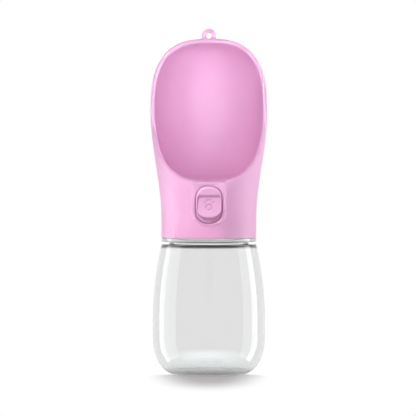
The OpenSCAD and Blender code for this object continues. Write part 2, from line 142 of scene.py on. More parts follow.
def mirrored(profile: Array) -> Array:
    """Closes a profile that starts and ends on the axis with its own mirror image."""
    return np.vstack([profile, profile[::-1] * [-1, 1]])


# ---------------------------------------------------------------- distance fields


class Outline:
    """Signed distance to a closed outline, negative inside, kept as a table."""

    def __init__(
        self, points: Array, low: Sequence[float], high: Sequence[float], step: float = 0.25
    ) -> None:
        """Measures the table.

        Args:
            points: corners of the closed outline.
            low, high: corners of the table.
            step: spacing of the table.
        """
        self.low, self.step = np.array(low, float), step
        axes = [np.arange(a, b + step, step) for a, b in zip(low, high)]
        self.table = self._distance(points, *np.meshgrid(*axes, indexing="ij"))

    @staticmethod
    def _distance(points: Array, u: Array, v: Array) -> Array:
        """Measures the distance from the outline.

        Args:
            points: corners of the closed outline.
            u, v: where to measure.

        Returns:
            The distance at each place, negative inside.
        """
        nearest = np.full(u.shape, np.inf)
        inside = np.zeros(u.shape, bool)
        for (ax, ay), (bx, by) in zip(points, np.roll(points, -1, axis=0)):
            ex, ey = bx - ax, by - ay
            length = ex * ex + ey * ey
            if length < 1e-12:
                continue
            share = np.clip(((u - ax) * ex + (v - ay) * ey) / length, 0, 1)
            nearest = np.minimum(nearest, (u - ax - share * ex) ** 2 + (v - ay - share * ey) ** 2)
            if ey:
                inside ^= ((ay > v) != (by > v)) & (u < ax + (v - ay) * ex / ey)
        return np.where(inside, -1, 1) * np.sqrt(nearest)

    def __call__(self, u: Array, v: Array) -> Array:
        """Reads the table between its lines.

        Args:
            u, v: where to read it. Places outside the table are read at its edge.

        Returns:
            The distance at each place, negative inside.
        """
        rows, columns = self.table.shape
        a = np.clip((u - self.low[0]) / self.step, 0, rows - 1.001)
        b = np.clip((v - self.low[1]) / self.step, 0, columns - 1.001)
        i, j = a.astype(int), b.astype(int)
        a, b = a - i, b - j
        t = self.table
        near = t[i, j] * (1 - a) + t[i + 1, j] * a
        far = t[i, j + 1] * (1 - a) + t[i + 1, j + 1] * a
        return near * (1 - b) + far * b


def join(a: Array, b: Array, fillet: float) -> Array:
    """Both solids, with a fillet where they meet."""
    rest = np.hypot(np.maximum(fillet - a, 0), np.maximum(fillet - b, 0))
    return np.maximum(fillet, np.minimum(a, b)) - rest


def meet(a: Array, b: Array, fillet: float) -> Array:
    """What both solids share, with a rounded edge."""
    rest = np.hypot(np.maximum(fillet + a, 0), np.maximum(fillet + b, 0))
    return np.minimum(-fillet, np.maximum(a, b)) + rest


def carve(a: Array, b: Array, fillet: float) -> Array:
    """Solid a without solid b, with a rounded edge."""
    return meet(a, -b, fillet)


def slab(value: Array, low: float, high: float) -> Array:
    """The layer between two planes."""
    return np.maximum(low - value, value - high)


def rounded(u: Array, v: Array, width: float, height: float, radius: float) -> Array:
    """A rectangle with round corners about the origin of the plane.

    Args:
        u, v: where to measure.
        width, height: its size.
        radius: of its corners.

    Returns:
        The distance at each place, negative inside.
    """
    a = np.abs(u) - width / 2 + radius
    b = np.abs(v) - height / 2 + radius
    return np.hypot(np.maximum(a, 0), np.maximum(b, 0)) + np.minimum(np.maximum(a, b), 0) - radius


def block(
    x: Array, y: Array, z: Array, low: Sequence[float], high: Sequence[float], fillet: float
) -> Array:
    """A block with rounded edges.

    Args:
        x, y, z: where to measure.
        low, high: its corners.
        fillet: radius of its edges.

    Returns:
        The distance at each place, negative inside.
    """
    sides = meet(slab(x, low[0], high[0]), slab(z, low[2], high[2]), fillet)
    return meet(sides, slab(y, low[1], high[1]), fillet)


# ---------------------------------------------------------------- meshes


def lines(*spans: tuple[float, float, float]) -> Array:
    """Grid lines along an axis, as spans of (start, end, spacing) that follow one another."""
    parts = [np.linspace(a, b, max(2, round((b - a) / step) + 1))[:-1] for a, b, step in spans]
    return np.append(np.concatenate(parts), spans[-1][1])


class Mesher:
    """Turns a distance field into one closed mesh of quads whose points lie on the surface."""

    def __init__(self, solid: Field, axes: Sequence[Array]) -> None:
        """Keeps the field and the grid.

        Args:
            solid: signed distance in millimetres, negative inside.
            axes: the grid's lines along X, Y and Z, which reach past the solid.
        """
        self.solid = solid
        self.axes = [np.asarray(axis, float) for axis in axes]

    def build(self) -> tuple[Array, Array, Array]:
        """Makes the mesh.

        Returns:
            Its points, its quads and its points' normals.
        """
        x, y, z = self.axes
        value = self.solid(x[:, None, None], y[None, :, None], z[None, None, :])
        inside = value < 0
        count = sum(
            inside[i : i + len(x) - 1, j : j + len(y) - 1, k : k + len(z) - 1].astype(np.int8)
            for i in (0, 1)
            for j in (0, 1)
            for k in (0, 1)
        )
        crossed = (count > 0) & (count < 8)
        cell = np.full(crossed.shape, -1)
        cell[crossed] = np.arange(crossed.sum())
        points, quads = self._edges(value, inside, cell, int(crossed.sum()))
        points = self._settle(points)
        return points, quads, self._normals(points)

    def _edges(self, value: Array, inside: Array, cell: Array, total: int) -> tuple[Array, Array]:
        """Averages the crossings of each cell's edges, and spans a quad round each crossed edge.

        Args:
            value: the field on the grid.
            inside: where it is negative.
            cell: the number of each crossed cell.
            total: how many there are.

        Returns:
            One point for each crossed cell, and the quads.
        """
        place = np.zeros((total, 3))
        hits = np.zeros(total)
        quads = []
        for axis in range(3):
            first = [slice(None)] * 3
            second = [slice(None)] * 3
            first[axis], second[axis] = slice(None, -1), slice(1, None)
            first, second = tuple(first), tuple(second)
            index = np.argwhere(inside[first] != inside[second])
            start = value[first][tuple(index.T)]
            end = value[second][tuple(index.T)]
            grid = [self.axes[n][index[:, n]] for n in range(3)]
            span = self.axes[axis][index[:, axis] + 1] - grid[axis]
            grid[axis] = grid[axis] + start / (start - end) * span
            side_a, side_b = (axis + 1) % 3, (axis + 2) % 3
            ring = []
            for step_a, step_b in ((0, 0), (1, 0), (1, 1), (0, 1)):
                near = index.copy()
                near[:, side_a] -= step_a
                near[:, side_b] -= step_b
                name = cell[tuple(near.T)]
                ring.append(name)
                hits += np.bincount(name, minlength=total)
                for n in range(3):
                    place[:, n] += np.bincount(name, weights=grid[n], minlength=total)
            quad = np.column_stack(ring)
            quad[start > 0] = quad[start > 0][:, ::-1]
            quads.append(quad)
        return place / hits[:, None], np.vstack(quads)

    def _gradient(self, points: Array, reach: float) -> Array:
        """Slope of the field.

        Args:
            points: where to measure it.
            reach: how far to each side it looks.

        Returns:
            The slope at each point.
        """
        slope = np.empty_like(points)
        for n in range(3):
            step = np.zeros(3)
            step[n] = reach
            slope[:, n] = self.solid(*(points + step).T) - self.solid(*(points - step).T)
        return slope / (2 * reach)

    def _settle(self, points: Array) -> Array:
        """Moves the points onto the surface, in small steps along the slope.

        Args:
            points: points near the surface.

        Returns:
            The moved points.
        """
        for _ in range(SETTLE_ROUNDS):
            slope = self._gradient(points, SETTLE_REACH)
            size = np.maximum((slope**2).sum(axis=1), SETTLE_FLAT)
            move = (self.solid(*points.T) / size)[:, None] * slope
            points = points - np.clip(move, -SETTLE_STEP, SETTLE_STEP)
        return points

    def _normals(self, points: Array) -> Array:
        """Directions in which the surface faces."""
        slope = self._gradient(points, NORMAL_REACH)
        return slope / np.maximum(np.linalg.norm(slope, axis=1), 1e-9)[:, None]


def new_object(
    name: str,
    points: Array,
    faces: list[Sequence[int]],
    normals: Array | None = None,
    sharp: float = SHARP,
) -> bpy.types.Object:
    """Makes a smooth mesh object from points in millimetres.

    Args:
        name: the piece's name.
        points: its points.
        faces: its faces, as point numbers.
        normals: its points' normals, or None to shade it by its faces.
        sharp: without normals, the angle in degrees from which an edge stays sharp.

    Returns:
        The new object, linked to the scene.
    """
    mesh = bpy.data.meshes.new(name)
    mesh.from_pydata((np.asarray(points) * MM).tolist(), [], faces)
    mesh.shade_smooth()
    if normals is None:
        mesh.set_sharp_from_angle(angle=math.radians(sharp))
    else:
        mesh.normals_split_custom_set_from_vertices(normals.tolist())
    piece = bpy.data.objects.new(name, mesh)
    bpy.context.scene.collection.objects.link(piece)
    return piece


def moulding(name: str, solid: Field, axes: Sequence[Array]) -> bpy.types.Object:
    """Makes the object of a distance field.

    Args:
        name: the piece's name.
        solid: its distance field.
        axes: the grid's lines along X, Y and Z, which reach past the solid.

    Returns:
        The new object.
    """
    points, quads, normals = Mesher(solid, axes).build()
    return new_object(name, points, quads.tolist(), normals)


def lathed(
    name: str, profile: Array, steps: int, swell: Callable[[Array, Array], Array]
) -> bpy.types.Object:
    """Turns a closed profile round the Z axis.

    Args:
        name: the piece's name.
        profile: its closed outline as (radius, height), where a radius of 0 becomes one point.
        steps: number of steps round the axis.
        swell: what is added to the radius at an angle and a point of the profile.

    Returns:
        The new object.
    """
    angle = np.linspace(0, 2 * math.pi, steps, endpoint=False)
    on_axis = profile[:, 0] < 1e-9
    points: list[Array] = []
    first: list[int] = []
    for number, (radius, height) in enumerate(profile):
        first.append(sum(len(p) for p in points))
        if on_axis[number]:
            points.append(np.array([[0.0, 0.0, height]]))
            continue
        reach = radius + swell(angle, np.full(steps, number))
        points.append(np.column_stack([reach * np.cos(angle), reach * np.sin(angle), np.full(steps, height)]))
    faces: list[list[int]] = []
    for a in range(len(profile)):
        b = (a + 1) % len(profile)
        if on_axis[a] and on_axis[b]:
            continue
        for i in range(steps):
            j = (i + 1) % steps
            low = [first[a]] if on_axis[a] else [first[a] + i, first[a] + j]
            high = [first[b]] if on_axis[b] else [first[b] + j, first[b] + i]
            faces.append(low + high)
    return new_object(name, np.vstack(points), faces)


# ---------------------------------------------------------------- materials


def linear(code: str) -> tuple[float, float, float, float]:
    """Turns an sRGB colour to linear light.

    Args:
        code: the colour in hex, such as "#F6C4E8".

    Returns:
        Linear red, green and blue, and an alpha of 1.
    """
    parts = [int(code[i : i + 2], 16) / 255 for i in (1, 3, 5)]
    red, green, blue = [c / 12.92 if c <= 0.04045 else ((c + 0.055) / 1.055) ** 2.4 for c in parts]
    return red, green, blue, 1.0


def add_node(
    tree: bpy.types.NodeTree, kind: str, inputs: dict | None = None, **settings: object
) -> bpy.types.Node:
    """Adds a node.

    Args:
        tree: where it goes.
        kind: its type name.
        inputs: socket names with a value, or with the socket that feeds it.
        settings: the node's own properties.

    Returns:
        The new node.
    """
    node = tree.nodes.new(kind)
    for name, value in settings.items():
        setattr(node, name, value)
    for name, value in (inputs or {}).items():
        if isinstance(value, bpy.types.NodeSocket):
            tree.links.new(value, node.inputs[name])
        else:
            node.inputs[name].default_value = value
    return node


MaterialParts = tuple[
    bpy.types.Material, bpy.types.NodeTree, bpy.types.NodeSocket, bpy.types.NodeSocket
]


def new_material(name: str) -> MaterialParts:
    """Starts a material.

    Args:
        name: its name.

    Returns:
        The material, its node tree, its surface socket and its object coordinates.
    """
    material = bpy.data.materials.new(name)
    material.use_nodes = True
    tree = material.node_tree
    tree.nodes.clear()
    output = add_node(tree, "ShaderNodeOutputMaterial")
    place = add_node(tree, "ShaderNodeTexCoord")
    return material, tree, output.inputs["Surface"], place.outputs["Object"]


def speckle(
    tree: bpy.types.NodeTree, place: bpy.types.NodeSocket, grain_mm: float, detail: float = 2
) -> bpy.types.NodeSocket:
    """Adds noise.

    Args:
        tree: where it goes.
        place: the coordinates that it follows.
        grain_mm: how wide its grains are.
        detail: how many finer layers it has.

    Returns:
        The noise, from 0 to 1.
    """
    noise = add_node(
        tree,
        "ShaderNodeTexNoise",
        {"Vector": place, "Scale": 1 / (grain_mm * MM), "Detail": detail, "Roughness": 0.5},
    )
    return noise.outputs["Fac"]


def spread(
    tree: bpy.types.NodeTree, value: bpy.types.NodeSocket, low: float, high: float
) -> bpy.types.NodeSocket:
    """Maps the middle of a noise to a range.

    Args:
        tree: where the node goes.
        value: the noise.
        low, high: the range.

    Returns:
        The mapped noise.
    """
    node = add_node(
        tree,
        "ShaderNodeMapRange",
        {"Value": value, "From Min": 0.3, "From Max": 0.7, "To Min": low, "To Max": high},
    )
    return node.outputs["Result"]


@dataclass(frozen=True)
class Plastic:
    """Finish of a moulded plastic or rubber piece."""

    name: str
    colour: str
    shade: str
    roughness: float
    grain_mm: float
    relief_mm: float
    specular: float = 0.5
    soft: float = 0.0
    soft_mm: float = 1.0
    cloud_mm: float = 22
    patch_mm: float = 6
    least_gloss: float = 1.1
    most_gloss: float = 0.92
    relief: float = 0.5

    def material(self) -> bpy.types.Material:
        """Builds the material: a cloudy base colour, uneven gloss and the fine grain of the mould.

        Returns:
            The material.
        """
        material, tree, surface, place = new_material(self.name)
        cloud = spread(tree, speckle(tree, place, self.cloud_mm), 0, 1)
        colour = add_node(
            tree,
            "ShaderNodeMix",
            {"Factor": cloud, 6: linear(self.colour), 7: linear(self.shade)},
            data_type="RGBA",
        )
        patches = speckle(tree, place, self.patch_mm, 4)
        gloss = spread(
            tree, patches, self.roughness * self.most_gloss, self.roughness * self.least_gloss
        )
        grain = add_node(
            tree,
            "ShaderNodeBump",
            {
                "Height": speckle(tree, place, self.grain_mm, 3),
                "Strength": self.relief,
                "Distance": self.relief_mm * MM,
            },
        )
        shader = add_node(
            tree,
            "ShaderNodeBsdfPrincipled",
            {
                "Base Color": colour.outputs[2],
                "Roughness": gloss,
                "Normal": grain.outputs["Normal"],
                "Specular IOR Level": self.specular,
                "Subsurface Weight": self.soft,
                "Subsurface Scale": self.soft_mm * MM,
            },
        )
        tree.links.new(shader.outputs["BSDF"], surface)
        return material


@dataclass(frozen=True)
class Clear:
    """Finish of a transparent blow-moulded plastic."""

    name: str
    tint: str
    roughness: float
    ior: float
    wave_mm: float
    loss: float
    wave_span_mm: float = 17
    wave_relief: float = 0.6
    patch_mm: float = 9
    uneven: float = 0.3
    grey: tuple[float, float, float, float] = (0.5, 0.5, 0.5, 1)

    def material(self) -> bpy.types.Material:
        """Builds the material, whose long shallow waves bend what shows through it.

        Returns:
            The material.
        """
        material, tree, surface, place = new_material(self.name)
        # A mid grey soaks up half of the density, so the density is twice the loss per millimetre
        haze = add_node(
            tree,
            "ShaderNodeVolumeAbsorption",
            {"Color": self.grey, "Density": 2 * self.loss / MM},
        )
        tree.links.new(haze.outputs["Volume"], surface.node.inputs["Volume"])
        wave = add_node(
            tree,
            "ShaderNodeBump",
            {
                "Height": speckle(tree, place, self.wave_span_mm, 1),
                "Strength": self.wave_relief,
                "Distance": self.wave_mm * MM,
            },
        )
        patches = speckle(tree, place, self.patch_mm, 2)
        gloss = spread(
            tree, patches, self.roughness * (1 - self.uneven), self.roughness * (1 + self.uneven)
        )
        shader = add_node(
            tree,
            "ShaderNodeBsdfPrincipled",
            {
                "Base Color": linear(self.tint),
                "Roughness": gloss,
                "IOR": self.ior,
                "Transmission Weight": 1.0,
                "Normal": wave.outputs["Normal"],
            },
        )
        tree.links.new(shader.outputs["BSDF"], surface)
        return material


@dataclass(frozen=True)
class Metal:
    """Finish of drawn wire and small turned steel parts."""

    name: str
    colour: str
    roughness: float
    grain_mm: float
    uneven: float = 0.3
    mark_share: float = 0.6
    mark_relief: float = 0.3
    mark_depth_mm: float = 0.004

    def material(self) -> bpy.types.Material:
        """Builds the material: bare stainless steel with fine drawing marks.

        Returns:
            The material.
        """
        material, tree, surface, place = new_material(self.name)
        patches = speckle(tree, place, self.grain_mm, 4)
        gloss = spread(
            tree, patches, self.roughness * (1 - self.uneven), self.roughness * (1 + self.uneven)
        )
        marks = add_node(
            tree,
            "ShaderNodeBump",
            {
                "Height": speckle(tree, place, self.grain_mm * self.mark_share, 4),
                "Strength": self.mark_relief,
                "Distance": self.mark_depth_mm * MM,
            },
        )
        shader = add_node(
            tree,
            "ShaderNodeBsdfPrincipled",
            {
                "Base Color": linear(self.colour),
                "Metallic": 1.0,
                "Roughness": gloss,
                "Normal": marks.outputs["Normal"],
            },
        )
        tree.links.new(shader.outputs["BSDF"], surface)
        return material


# Polypropylene from a finely blasted mould: a satin with soft highlights, hardly any texture at arm's length
PINK = Plastic("satin_pink_pp", "#F7BEE5", "#F5BAE2", 0.5, 0.35, 0.012, specular=0.5)
# The button's pink is a darker copy of the head's pink: painted shade that offsets the extra lamp that falls
# on the button alone
BUTTON_PINK_SHADED = Plastic("satin_button_pink_shaded", "#EFB5DC", "#EDB1D9", 0.36, 0.3, 0.01, specular=0.6)
# Hidden valve parts are moulded natural white acetal: even, slightly waxy and half matt
WHITE = Plastic("white_acetal", "#ECECE8", "#E4E4DF", 0.4, 0.4, 0.012)
# Pressed food-grade silicone: milky, because some light goes in and comes out again
SILICONE = Plastic(
    "milky_silicone", "#E2E2DC", "#D9D9D2", 0.48, 0.6, 0.02, specular=0.4, soft=0.3, soft_mm=1.5
)
# Moulded nitrile rings: black with a dull sheen
RUBBER = Plastic("black_nitrile", "#1C1C1D", "#232324", 0.5, 0.25, 0.012, specular=0.35)
# Blow-moulded copolyester: clear and glossy, bright lines at its walls, faint waves in what shows through
CLEAR = Clear("clear_copolyester", "#F2F2F2", 0.02, 1.54, 0.004, 0.02)
# Drawn stainless wire and turned screws: bright, with fine marks that blur the highlights
STEEL = Metal("drawn_stainless", "#C9C9CC", 0.28, 0.3)

FINISHES = {
    Slot.CLEAR: CLEAR,
    Slot.PINK: PINK,
    Slot.BUTTON: BUTTON_PINK_SHADED,
    Slot.WHITE: WHITE,
    Slot.SILICONE: SILICONE,
    Slot.RUBBER: RUBBER,
    Slot.STEEL: STEEL,
}


class Palette:
    """Each slot's material, made once."""

    def __init__(self) -> None:
        """Makes the materials."""
        self.materials = {slot: finish.material() for slot, finish in FINISHES.items()}

    def paint(self, piece: bpy.types.Object, slot: Slot) -> bpy.types.Object:
        """Gives a piece the material of its slot.

        Args:
            piece: the object.
            slot: its slot.

        Returns:
            The same object.
        """
        piece.data.materials.clear()
        piece.data.materials.append(self.materials[slot])
        return piece


def fit(piece: bpy.types.Object, node: str, body: str) -> bpy.types.Object:
    """Puts a piece in the place of a CAD node.

    Args:
        piece: the object.
        node: the node that it replaces.
        body: the body that it moves with.

    Returns:
        The same object.
    """
    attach(piece, body)
    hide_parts(node)
    return piece


# ---------------------------------------------------------------- the neck's thread


@dataclass(frozen=True)
class Thread:
    """A right-hand thread with two starts, in millimetres."""

    lead: float = 8.0
    starts: int = 2
    depth: float = 1.2
    half_width: float = 1.15

    def offset(self, angle: Array, height: Array, shift: float) -> Array:
        """Distance along the axis from the nearest ridge.

        Args:
            angle: angles about the axis in radians.
            height: heights along it.
            shift: the height of a ridge at angle 0.

        Returns:
            The distance at each place.
        """
        pitch = self.lead / self.starts
        phase = np.mod(height - shift - self.lead * angle / (2 * math.pi), pitch)
        return np.minimum(phase, pitch - phase)


# ---------------------------------------------------------------- the clear bottle


@dataclass(frozen=True)
class ClearBottle:
    """The clear bottle as it is blown: rounded base, narrowing body, waist, flange and threaded neck."""

    foot_r: float = 19.3
    punt_r: float = 13.0
    punt_h: float = 0.8
    base_h: float = 24.0
    taper_z: float = 36.0
    shoulder_r: float = 29.6
    shoulder_z: float = 81.4
    shoulder_round: float = 1.0
    wall: float = 1.5
    floor: float = 1.8
    waist_gap: float = 1.6
    waist_r: float = 24.6
    waist_round: float = 0.7
    waist_top_round: float = 0.4
    flange_r: float = 29.35
    flange_t: float = 2.3
    flange_low_round: float = 0.45
    flange_top_round: float = 0.2
    neck_r: float = 25.0
    neck_foot: float = 0.3
    mouth_r: float = 22.2
    mouth_round: float = 0.5
    inner_round: float = 1.5
    base_power: float = 2.1
    taper_power: float = 1.9
    thread_low: float = 1.2
    thread_high: float = 0.8
    thread_fade: float = 0.9
    steps: int = 224
    thread: Thread = field(default_factory=Thread)

    def body_r(self, z: Array, belly_r: float) -> Array:
        """Outer radius above the straight belly.

        Args:
            z: heights in millimetres.
            belly_r: radius of the belly.

        Returns:
            The radius at each height.
        """
        run = self.shoulder_z - self.shoulder_round - self.taper_z
        rise = np.maximum(z - self.taper_z, 0) / run
        return belly_r - (belly_r - self.shoulder_r) * rise**self.taper_power

    def outer(self, belly_r: float, neck_top: float) -> Array:
        """Outer profile from the axis under the base up to the mouth.

        Args:
            belly_r: radius of the belly.
            neck_top: height of the mouth.

        Returns:
            Its points as (radius, height).
        """
        waist_r, waist_round, waist_top = self.waist_r, self.waist_round, self.waist_top_round
        shoulder = self.shoulder_z - self.shoulder_round
        flange_z = self.shoulder_z + self.waist_gap
        flange_top = flange_z + self.flange_t
        share = np.linspace(0, 1, 9)
        punt = np.column_stack([self.punt_r * share, self.punt_h * (1 - share**2)])
        rise = np.linspace(self.taper_z, shoulder, 40)
        neck = np.linspace(flange_top + self.neck_foot, neck_top - self.mouth_round, 36)
        low, high, mouth = self.flange_low_round, self.flange_top_round, self.mouth_round
        return np.vstack(
            [
                punt,
                corner(belly_r - self.foot_r, self.base_h, self.base_power, 36) + [self.foot_r, 0],
                np.column_stack([self.body_r(rise, belly_r), rise]),
                arc(self.shoulder_r - self.shoulder_round, shoulder, self.shoulder_round, 12, 90, 8),
                arc(waist_r + waist_round, self.shoulder_z + waist_round, waist_round, 270, 180, 8),
                arc(waist_r + waist_top, flange_z - waist_top, waist_top, 180, 90, 4),
                arc(self.flange_r - low, flange_z + low, low, -90, 0, 6),
                arc(self.flange_r - high, flange_top - high, high, 0, 90, 4),
                np.column_stack([np.full(neck.shape, self.neck_r), neck]),
                arc(self.neck_r - mouth, neck_top - mouth, mouth, 20, 90, 4),
            ]
        )

    def inner(self, belly_r: float, neck_top: float) -> Array:
        """Inner profile from the axis over the floor up to the mouth.

        Args:
            belly_r: outer radius of the belly.
            neck_top: height of the mouth.

        Returns:
            Its points as (radius, height).
        """
        top = self.shoulder_z - self.wall
        turn_r, mouth = self.inner_round, self.mouth_round
        turn = top - turn_r
        share = np.linspace(0, 1, 9)
        punt = np.column_stack([self.punt_r * share, self.floor + self.punt_h * (1 - share**2)])
        rise = np.linspace(self.taper_z, turn, 36)
        base = corner(
            belly_r - self.wall - self.foot_r, self.base_h - self.floor, self.base_power, 36
        )
        shoulder_r = float(self.body_r(np.array(turn), belly_r)) - self.wall
        return np.vstack(
            [
                punt,
                base + [self.foot_r, self.floor],
                np.column_stack([self.body_r(rise, belly_r) - self.wall, rise]),
                arc(shoulder_r - turn_r, turn, turn_r, 10, 90, 8),
                arc(self.mouth_r + turn_r, top + turn_r, turn_r, 270, 180, 8),
                arc(self.mouth_r + mouth, neck_top - mouth, mouth, 180, 90, 4),
            ]
        )

    def build(self, palette: Palette) -> bpy.types.Object:
        """Makes the bottle in the place of its CAD node.

        Args:
            palette: the materials.

        Returns:
            The bottle.
        """
        low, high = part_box("bottle")
        belly_r, neck_top = (high[0] - low[0]) / 2 / MM, high[2] / MM
        outer, inner = self.outer(belly_r, neck_top), self.inner(belly_r, neck_top)
        profile = np.vstack([outer, inner[::-1]])
        start = self.shoulder_z + self.waist_gap + self.flange_t + self.thread_low
        stop = neck_top - self.thread_high
        on_neck = np.isclose(profile[:, 0], self.neck_r)

        def swell(angle: Array, number: Array) -> Array:
            """Height of the thread's ridge on the neck, and 0 elsewhere."""
            height = profile[number, 1]
            away = self.thread.offset(angle, height, start) / self.thread.half_width
            fade = ease((height - start) / self.thread_fade) * ease((stop - height) / self.thread_fade)
            return np.where(on_neck[number], self.thread.depth * ease(1 - away) * fade, 0)

        piece = lathed("bottle_shell", profile, self.steps, swell)
        fit(piece, "bottle", "bottle")
        return palette.paint(piece, Slot.CLEAR)


# ---------------------------------------------------------------- the drinking head


@dataclass(frozen=True)
class HeadOutlines:
    """The head's outlines as tables, and the heights that come from its CAD node's box."""

    outside: Outline
    hollow: Outline
    socket: Outline
    front: Outline
    pod: Outline
    skirt_z: float
    hole_z: float


@dataclass(frozen=True)
class DrinkingHead:
    """The pink head: skirt, button pod, scoop with its swept rim, and lanyard loop, in one moulding."""

    skirt_r: float = 29.5
    skirt_wall: float = 2.3
    skirt_round: float = 0.5
    skirt_h: float = 11.7
    widest_h: float = 78.2
    dome_h: float = 45.4
    dome_power: float = 2.7
    scoop_wall: float = 2.6
    lip_wall: float = 1.9
    lip_h: float = 34.7
    lip_turn: float = 4.0
    lip_round: float = 0.85
    rim_front: float = 3.0
    rim_run: float = 18.5
    rim_power: float = 1.6
    dish_z: float = 113.5
    dish_power: float = 1.5
    floor_t: float = 2.2
    loop_r: float = 4.4
    loop_hole_r: float = 1.8
    loop_t: float = 3.0
    loop_round: float = 0.8
    loop_hole_round: float = 0.5
    loop_fillet: float = 1.3
    pod_w: float = 22.4
    pod_face: float = 31.0
    pod_depth: float = 5.0
    pod_curve: float = 10.5
    pod_power: float = 0.85
    pod_low: float = 92.4
    pod_draft: float = 0.22
    pod_draft_y: float = 27.3
    pod_round: float = 0.5
    pod_fillet: float = 0.25
    window_z: float = 106.65
    window_w: float = 17.3
    window_h: float = 23.5
    window_round: float = 8.0
    window_edge: float = 0.55
    pocket_back: float = 24.4
    wing_lip: float = 2.7
    wing_x: float = 9.75
    wing_h: float = 14.6
    ridge_foot: float = 1.5
    ridge_low: float = 1.4
    ridge_high: float = 8.6
    ridge_round: float = 0.5
    ridge_fillet: float = 0.3
    plate_top: float = 97.6
    screw_x: float = 15.6
    screw_y: float = 6.5
    screw_bore: float = 1.15
    screw_end: float = 105.1
    boss_r: float = 3.2
    rib_t: float = 1.4
    rib_gap: float = 2.9
    rib_foot: float = 3.0
    drain_y: float = 7.0
    drain_r: float = 4.0
    collar_r: float = 8.4
    collar_wall: float = 1.8
    collar_z: float = 103.8
    riser_top: float = 109.8
    riser_play: float = 0.3
    inside_fillet: float = 0.4
    socket_round: float = 0.35
    hollow_round: float = 0.3
    thread: Thread = field(default_factory=Thread)

    def shell_r(self, z: Array, skirt_z: float, head_r: float) -> Array:
        """Outer radius between the skirt and the widest line.

        Args:
            z: heights in millimetres.
            skirt_z: height of the skirt's lower edge.
            head_r: radius at the widest line.

        Returns:
            The radius at each height.
        """
        rise = (z - skirt_z - self.skirt_h) / (self.widest_h - self.skirt_h)
        return self.skirt_r + (head_r - self.skirt_r) * ease(rise)

    def rim(self, lip_z: float, lip_r: float, dome_top: float, far: float) -> Array:
        """What the scoop's open front takes away, seen from the side.

        Args:
            lip_z: height of the rim's lowest point.
            lip_r: the shell's radius there.
            dome_top: height of the dome.
            far: a distance past the head.

        Returns:
            Its corners as (Y, height).
        """
        top = dome_top + 12
        rise = lip_z + (dome_top - lip_z + 1) * np.linspace(0, 1, 90) ** self.rim_power
        rim_y = self.rim_front + (lip_r - self.rim_front) * np.exp((lip_z - rise) / self.rim_run)
        sweep = np.column_stack([-rim_y, rise])
        return np.vstack([[[-far, lip_z]], sweep, [[-rim_y[-1], top], [-far, top]]])

    def pod_outline(self, lip_z: float) -> Array:
        """The pod's outline, seen from the front: straight sides over a round lower end."""
        half = self.pod_w / 2
        angle = np.radians(np.linspace(180, 360, 60))
        low = 1 - np.clip(-np.sin(angle), 0, 1) ** self.pod_power
        curve = np.column_stack([half * np.cos(angle), self.pod_low + self.pod_curve * low])
        return np.vstack([[[half, lip_z + 3], [-half, lip_z + 3]], curve])

    def outlines(self) -> HeadOutlines:
        """Works out the outlines from the head's sizes and its CAD node's box.

        Returns:
            The outlines and heights.
        """
        low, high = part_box("head_shell")
        skirt_z, head_r = low[2] / MM, (high[0] - low[0]) / 2 / MM
        widest_z = skirt_z + self.widest_h
        lip_z = skirt_z + self.lip_h
        turn_z = lip_z + self.lip_turn
        flare_z = skirt_z + self.skirt_h
        dome_top = widest_z + self.dome_h
        socket_r = self.skirt_r - self.skirt_wall

        def shell(z: Array) -> Array:
            """Radius of the shell's outside."""
            return self.shell_r(np.asarray(z, float), skirt_z, head_r)

        def scoop_r(z: Array) -> Array:
            """Radius of the scoop's inside, under a wall that gets thicker upwards."""
            thicker = (np.asarray(z, float) - turn_z) / (widest_z - turn_z)
            return shell(z) - self.lip_wall - (self.scoop_wall - self.lip_wall) * thicker

        def dome(radius: float, height: float) -> Array:
            """A quarter of the dome from its widest line up to the axis."""
            angle = np.linspace(0, math.pi / 2, 60)[1:]
            across = radius * np.clip(np.cos(angle), 0, 1) ** (2 / self.dome_power)
            up = height * np.sin(angle) ** (2 / self.dome_power)
            return np.column_stack([across, widest_z + up])

        rise = np.linspace(flare_z, widest_z, 60)
        edge = arc(self.skirt_r - self.skirt_round, skirt_z + self.skirt_round, self.skirt_round, -90, 0, 6)
        flare = np.column_stack([shell(rise), rise])
        outside = np.vstack([[[0, skirt_z]], edge, flare, dome(head_r, self.dome_h)])
        dish_r = float(scoop_r(turn_z))
        dish = corner(dish_r, turn_z - self.dish_z, self.dish_power, 40) + [0, self.dish_z]
        wall = np.linspace(turn_z, widest_z, 40)[1:]
        crown = dome(head_r - self.scoop_wall, self.dome_h - self.scoop_wall)
        hollow = np.vstack([dish, np.column_stack([scoop_r(wall), wall]), crown])
        under = dish[dish[:, 0] < dish_r - self.scoop_wall] - [0, self.floor_t]
        side = np.linspace(flare_z, under[-1, 1], 14)
        inner_side = np.column_stack([shell(side) - self.skirt_wall, side])
        socket = np.vstack([[[0, skirt_z - 6], [socket_r, skirt_z - 6]], inner_side, under[::-1]])
        front = self.rim(lip_z, float(shell(lip_z)), dome_top, head_r + 12)
        reach, low_z, high_z = head_r + 4, skirt_z - 4, dome_top + 10
        return HeadOutlines(
            outside=Outline(mirrored(outside), (-1, low_z), (reach * 1.5, high_z)),
            hollow=Outline(mirrored(hollow), (-1, low_z), (reach * 1.5, high_z)),
            socket=Outline(mirrored(socket), (-1, low_z), (reach * 1.5, lip_z + 6)),
            front=Outline(front, (-reach, lip_z - 8), (14, high_z)),
            pod=Outline(self.pod_outline(lip_z), (-16, self.pod_low - 6), (16, lip_z + 6)),
            skirt_z=skirt_z,
            hole_z=high[2] / MM - self.loop_r,
        )

    def pod_block(self, outlines: HeadOutlines, x: Array, y: Array, z: Array) -> Array:
        """The pod's block, whose sides draw in towards its face."""
        draft = self.pod_draft * (-y - self.pod_draft_y)
        depth = slab(y, -self.pod_face, -self.pod_face + self.pod_depth)
        return meet(outlines.pod(x, z) + draft, depth, self.pod_round)

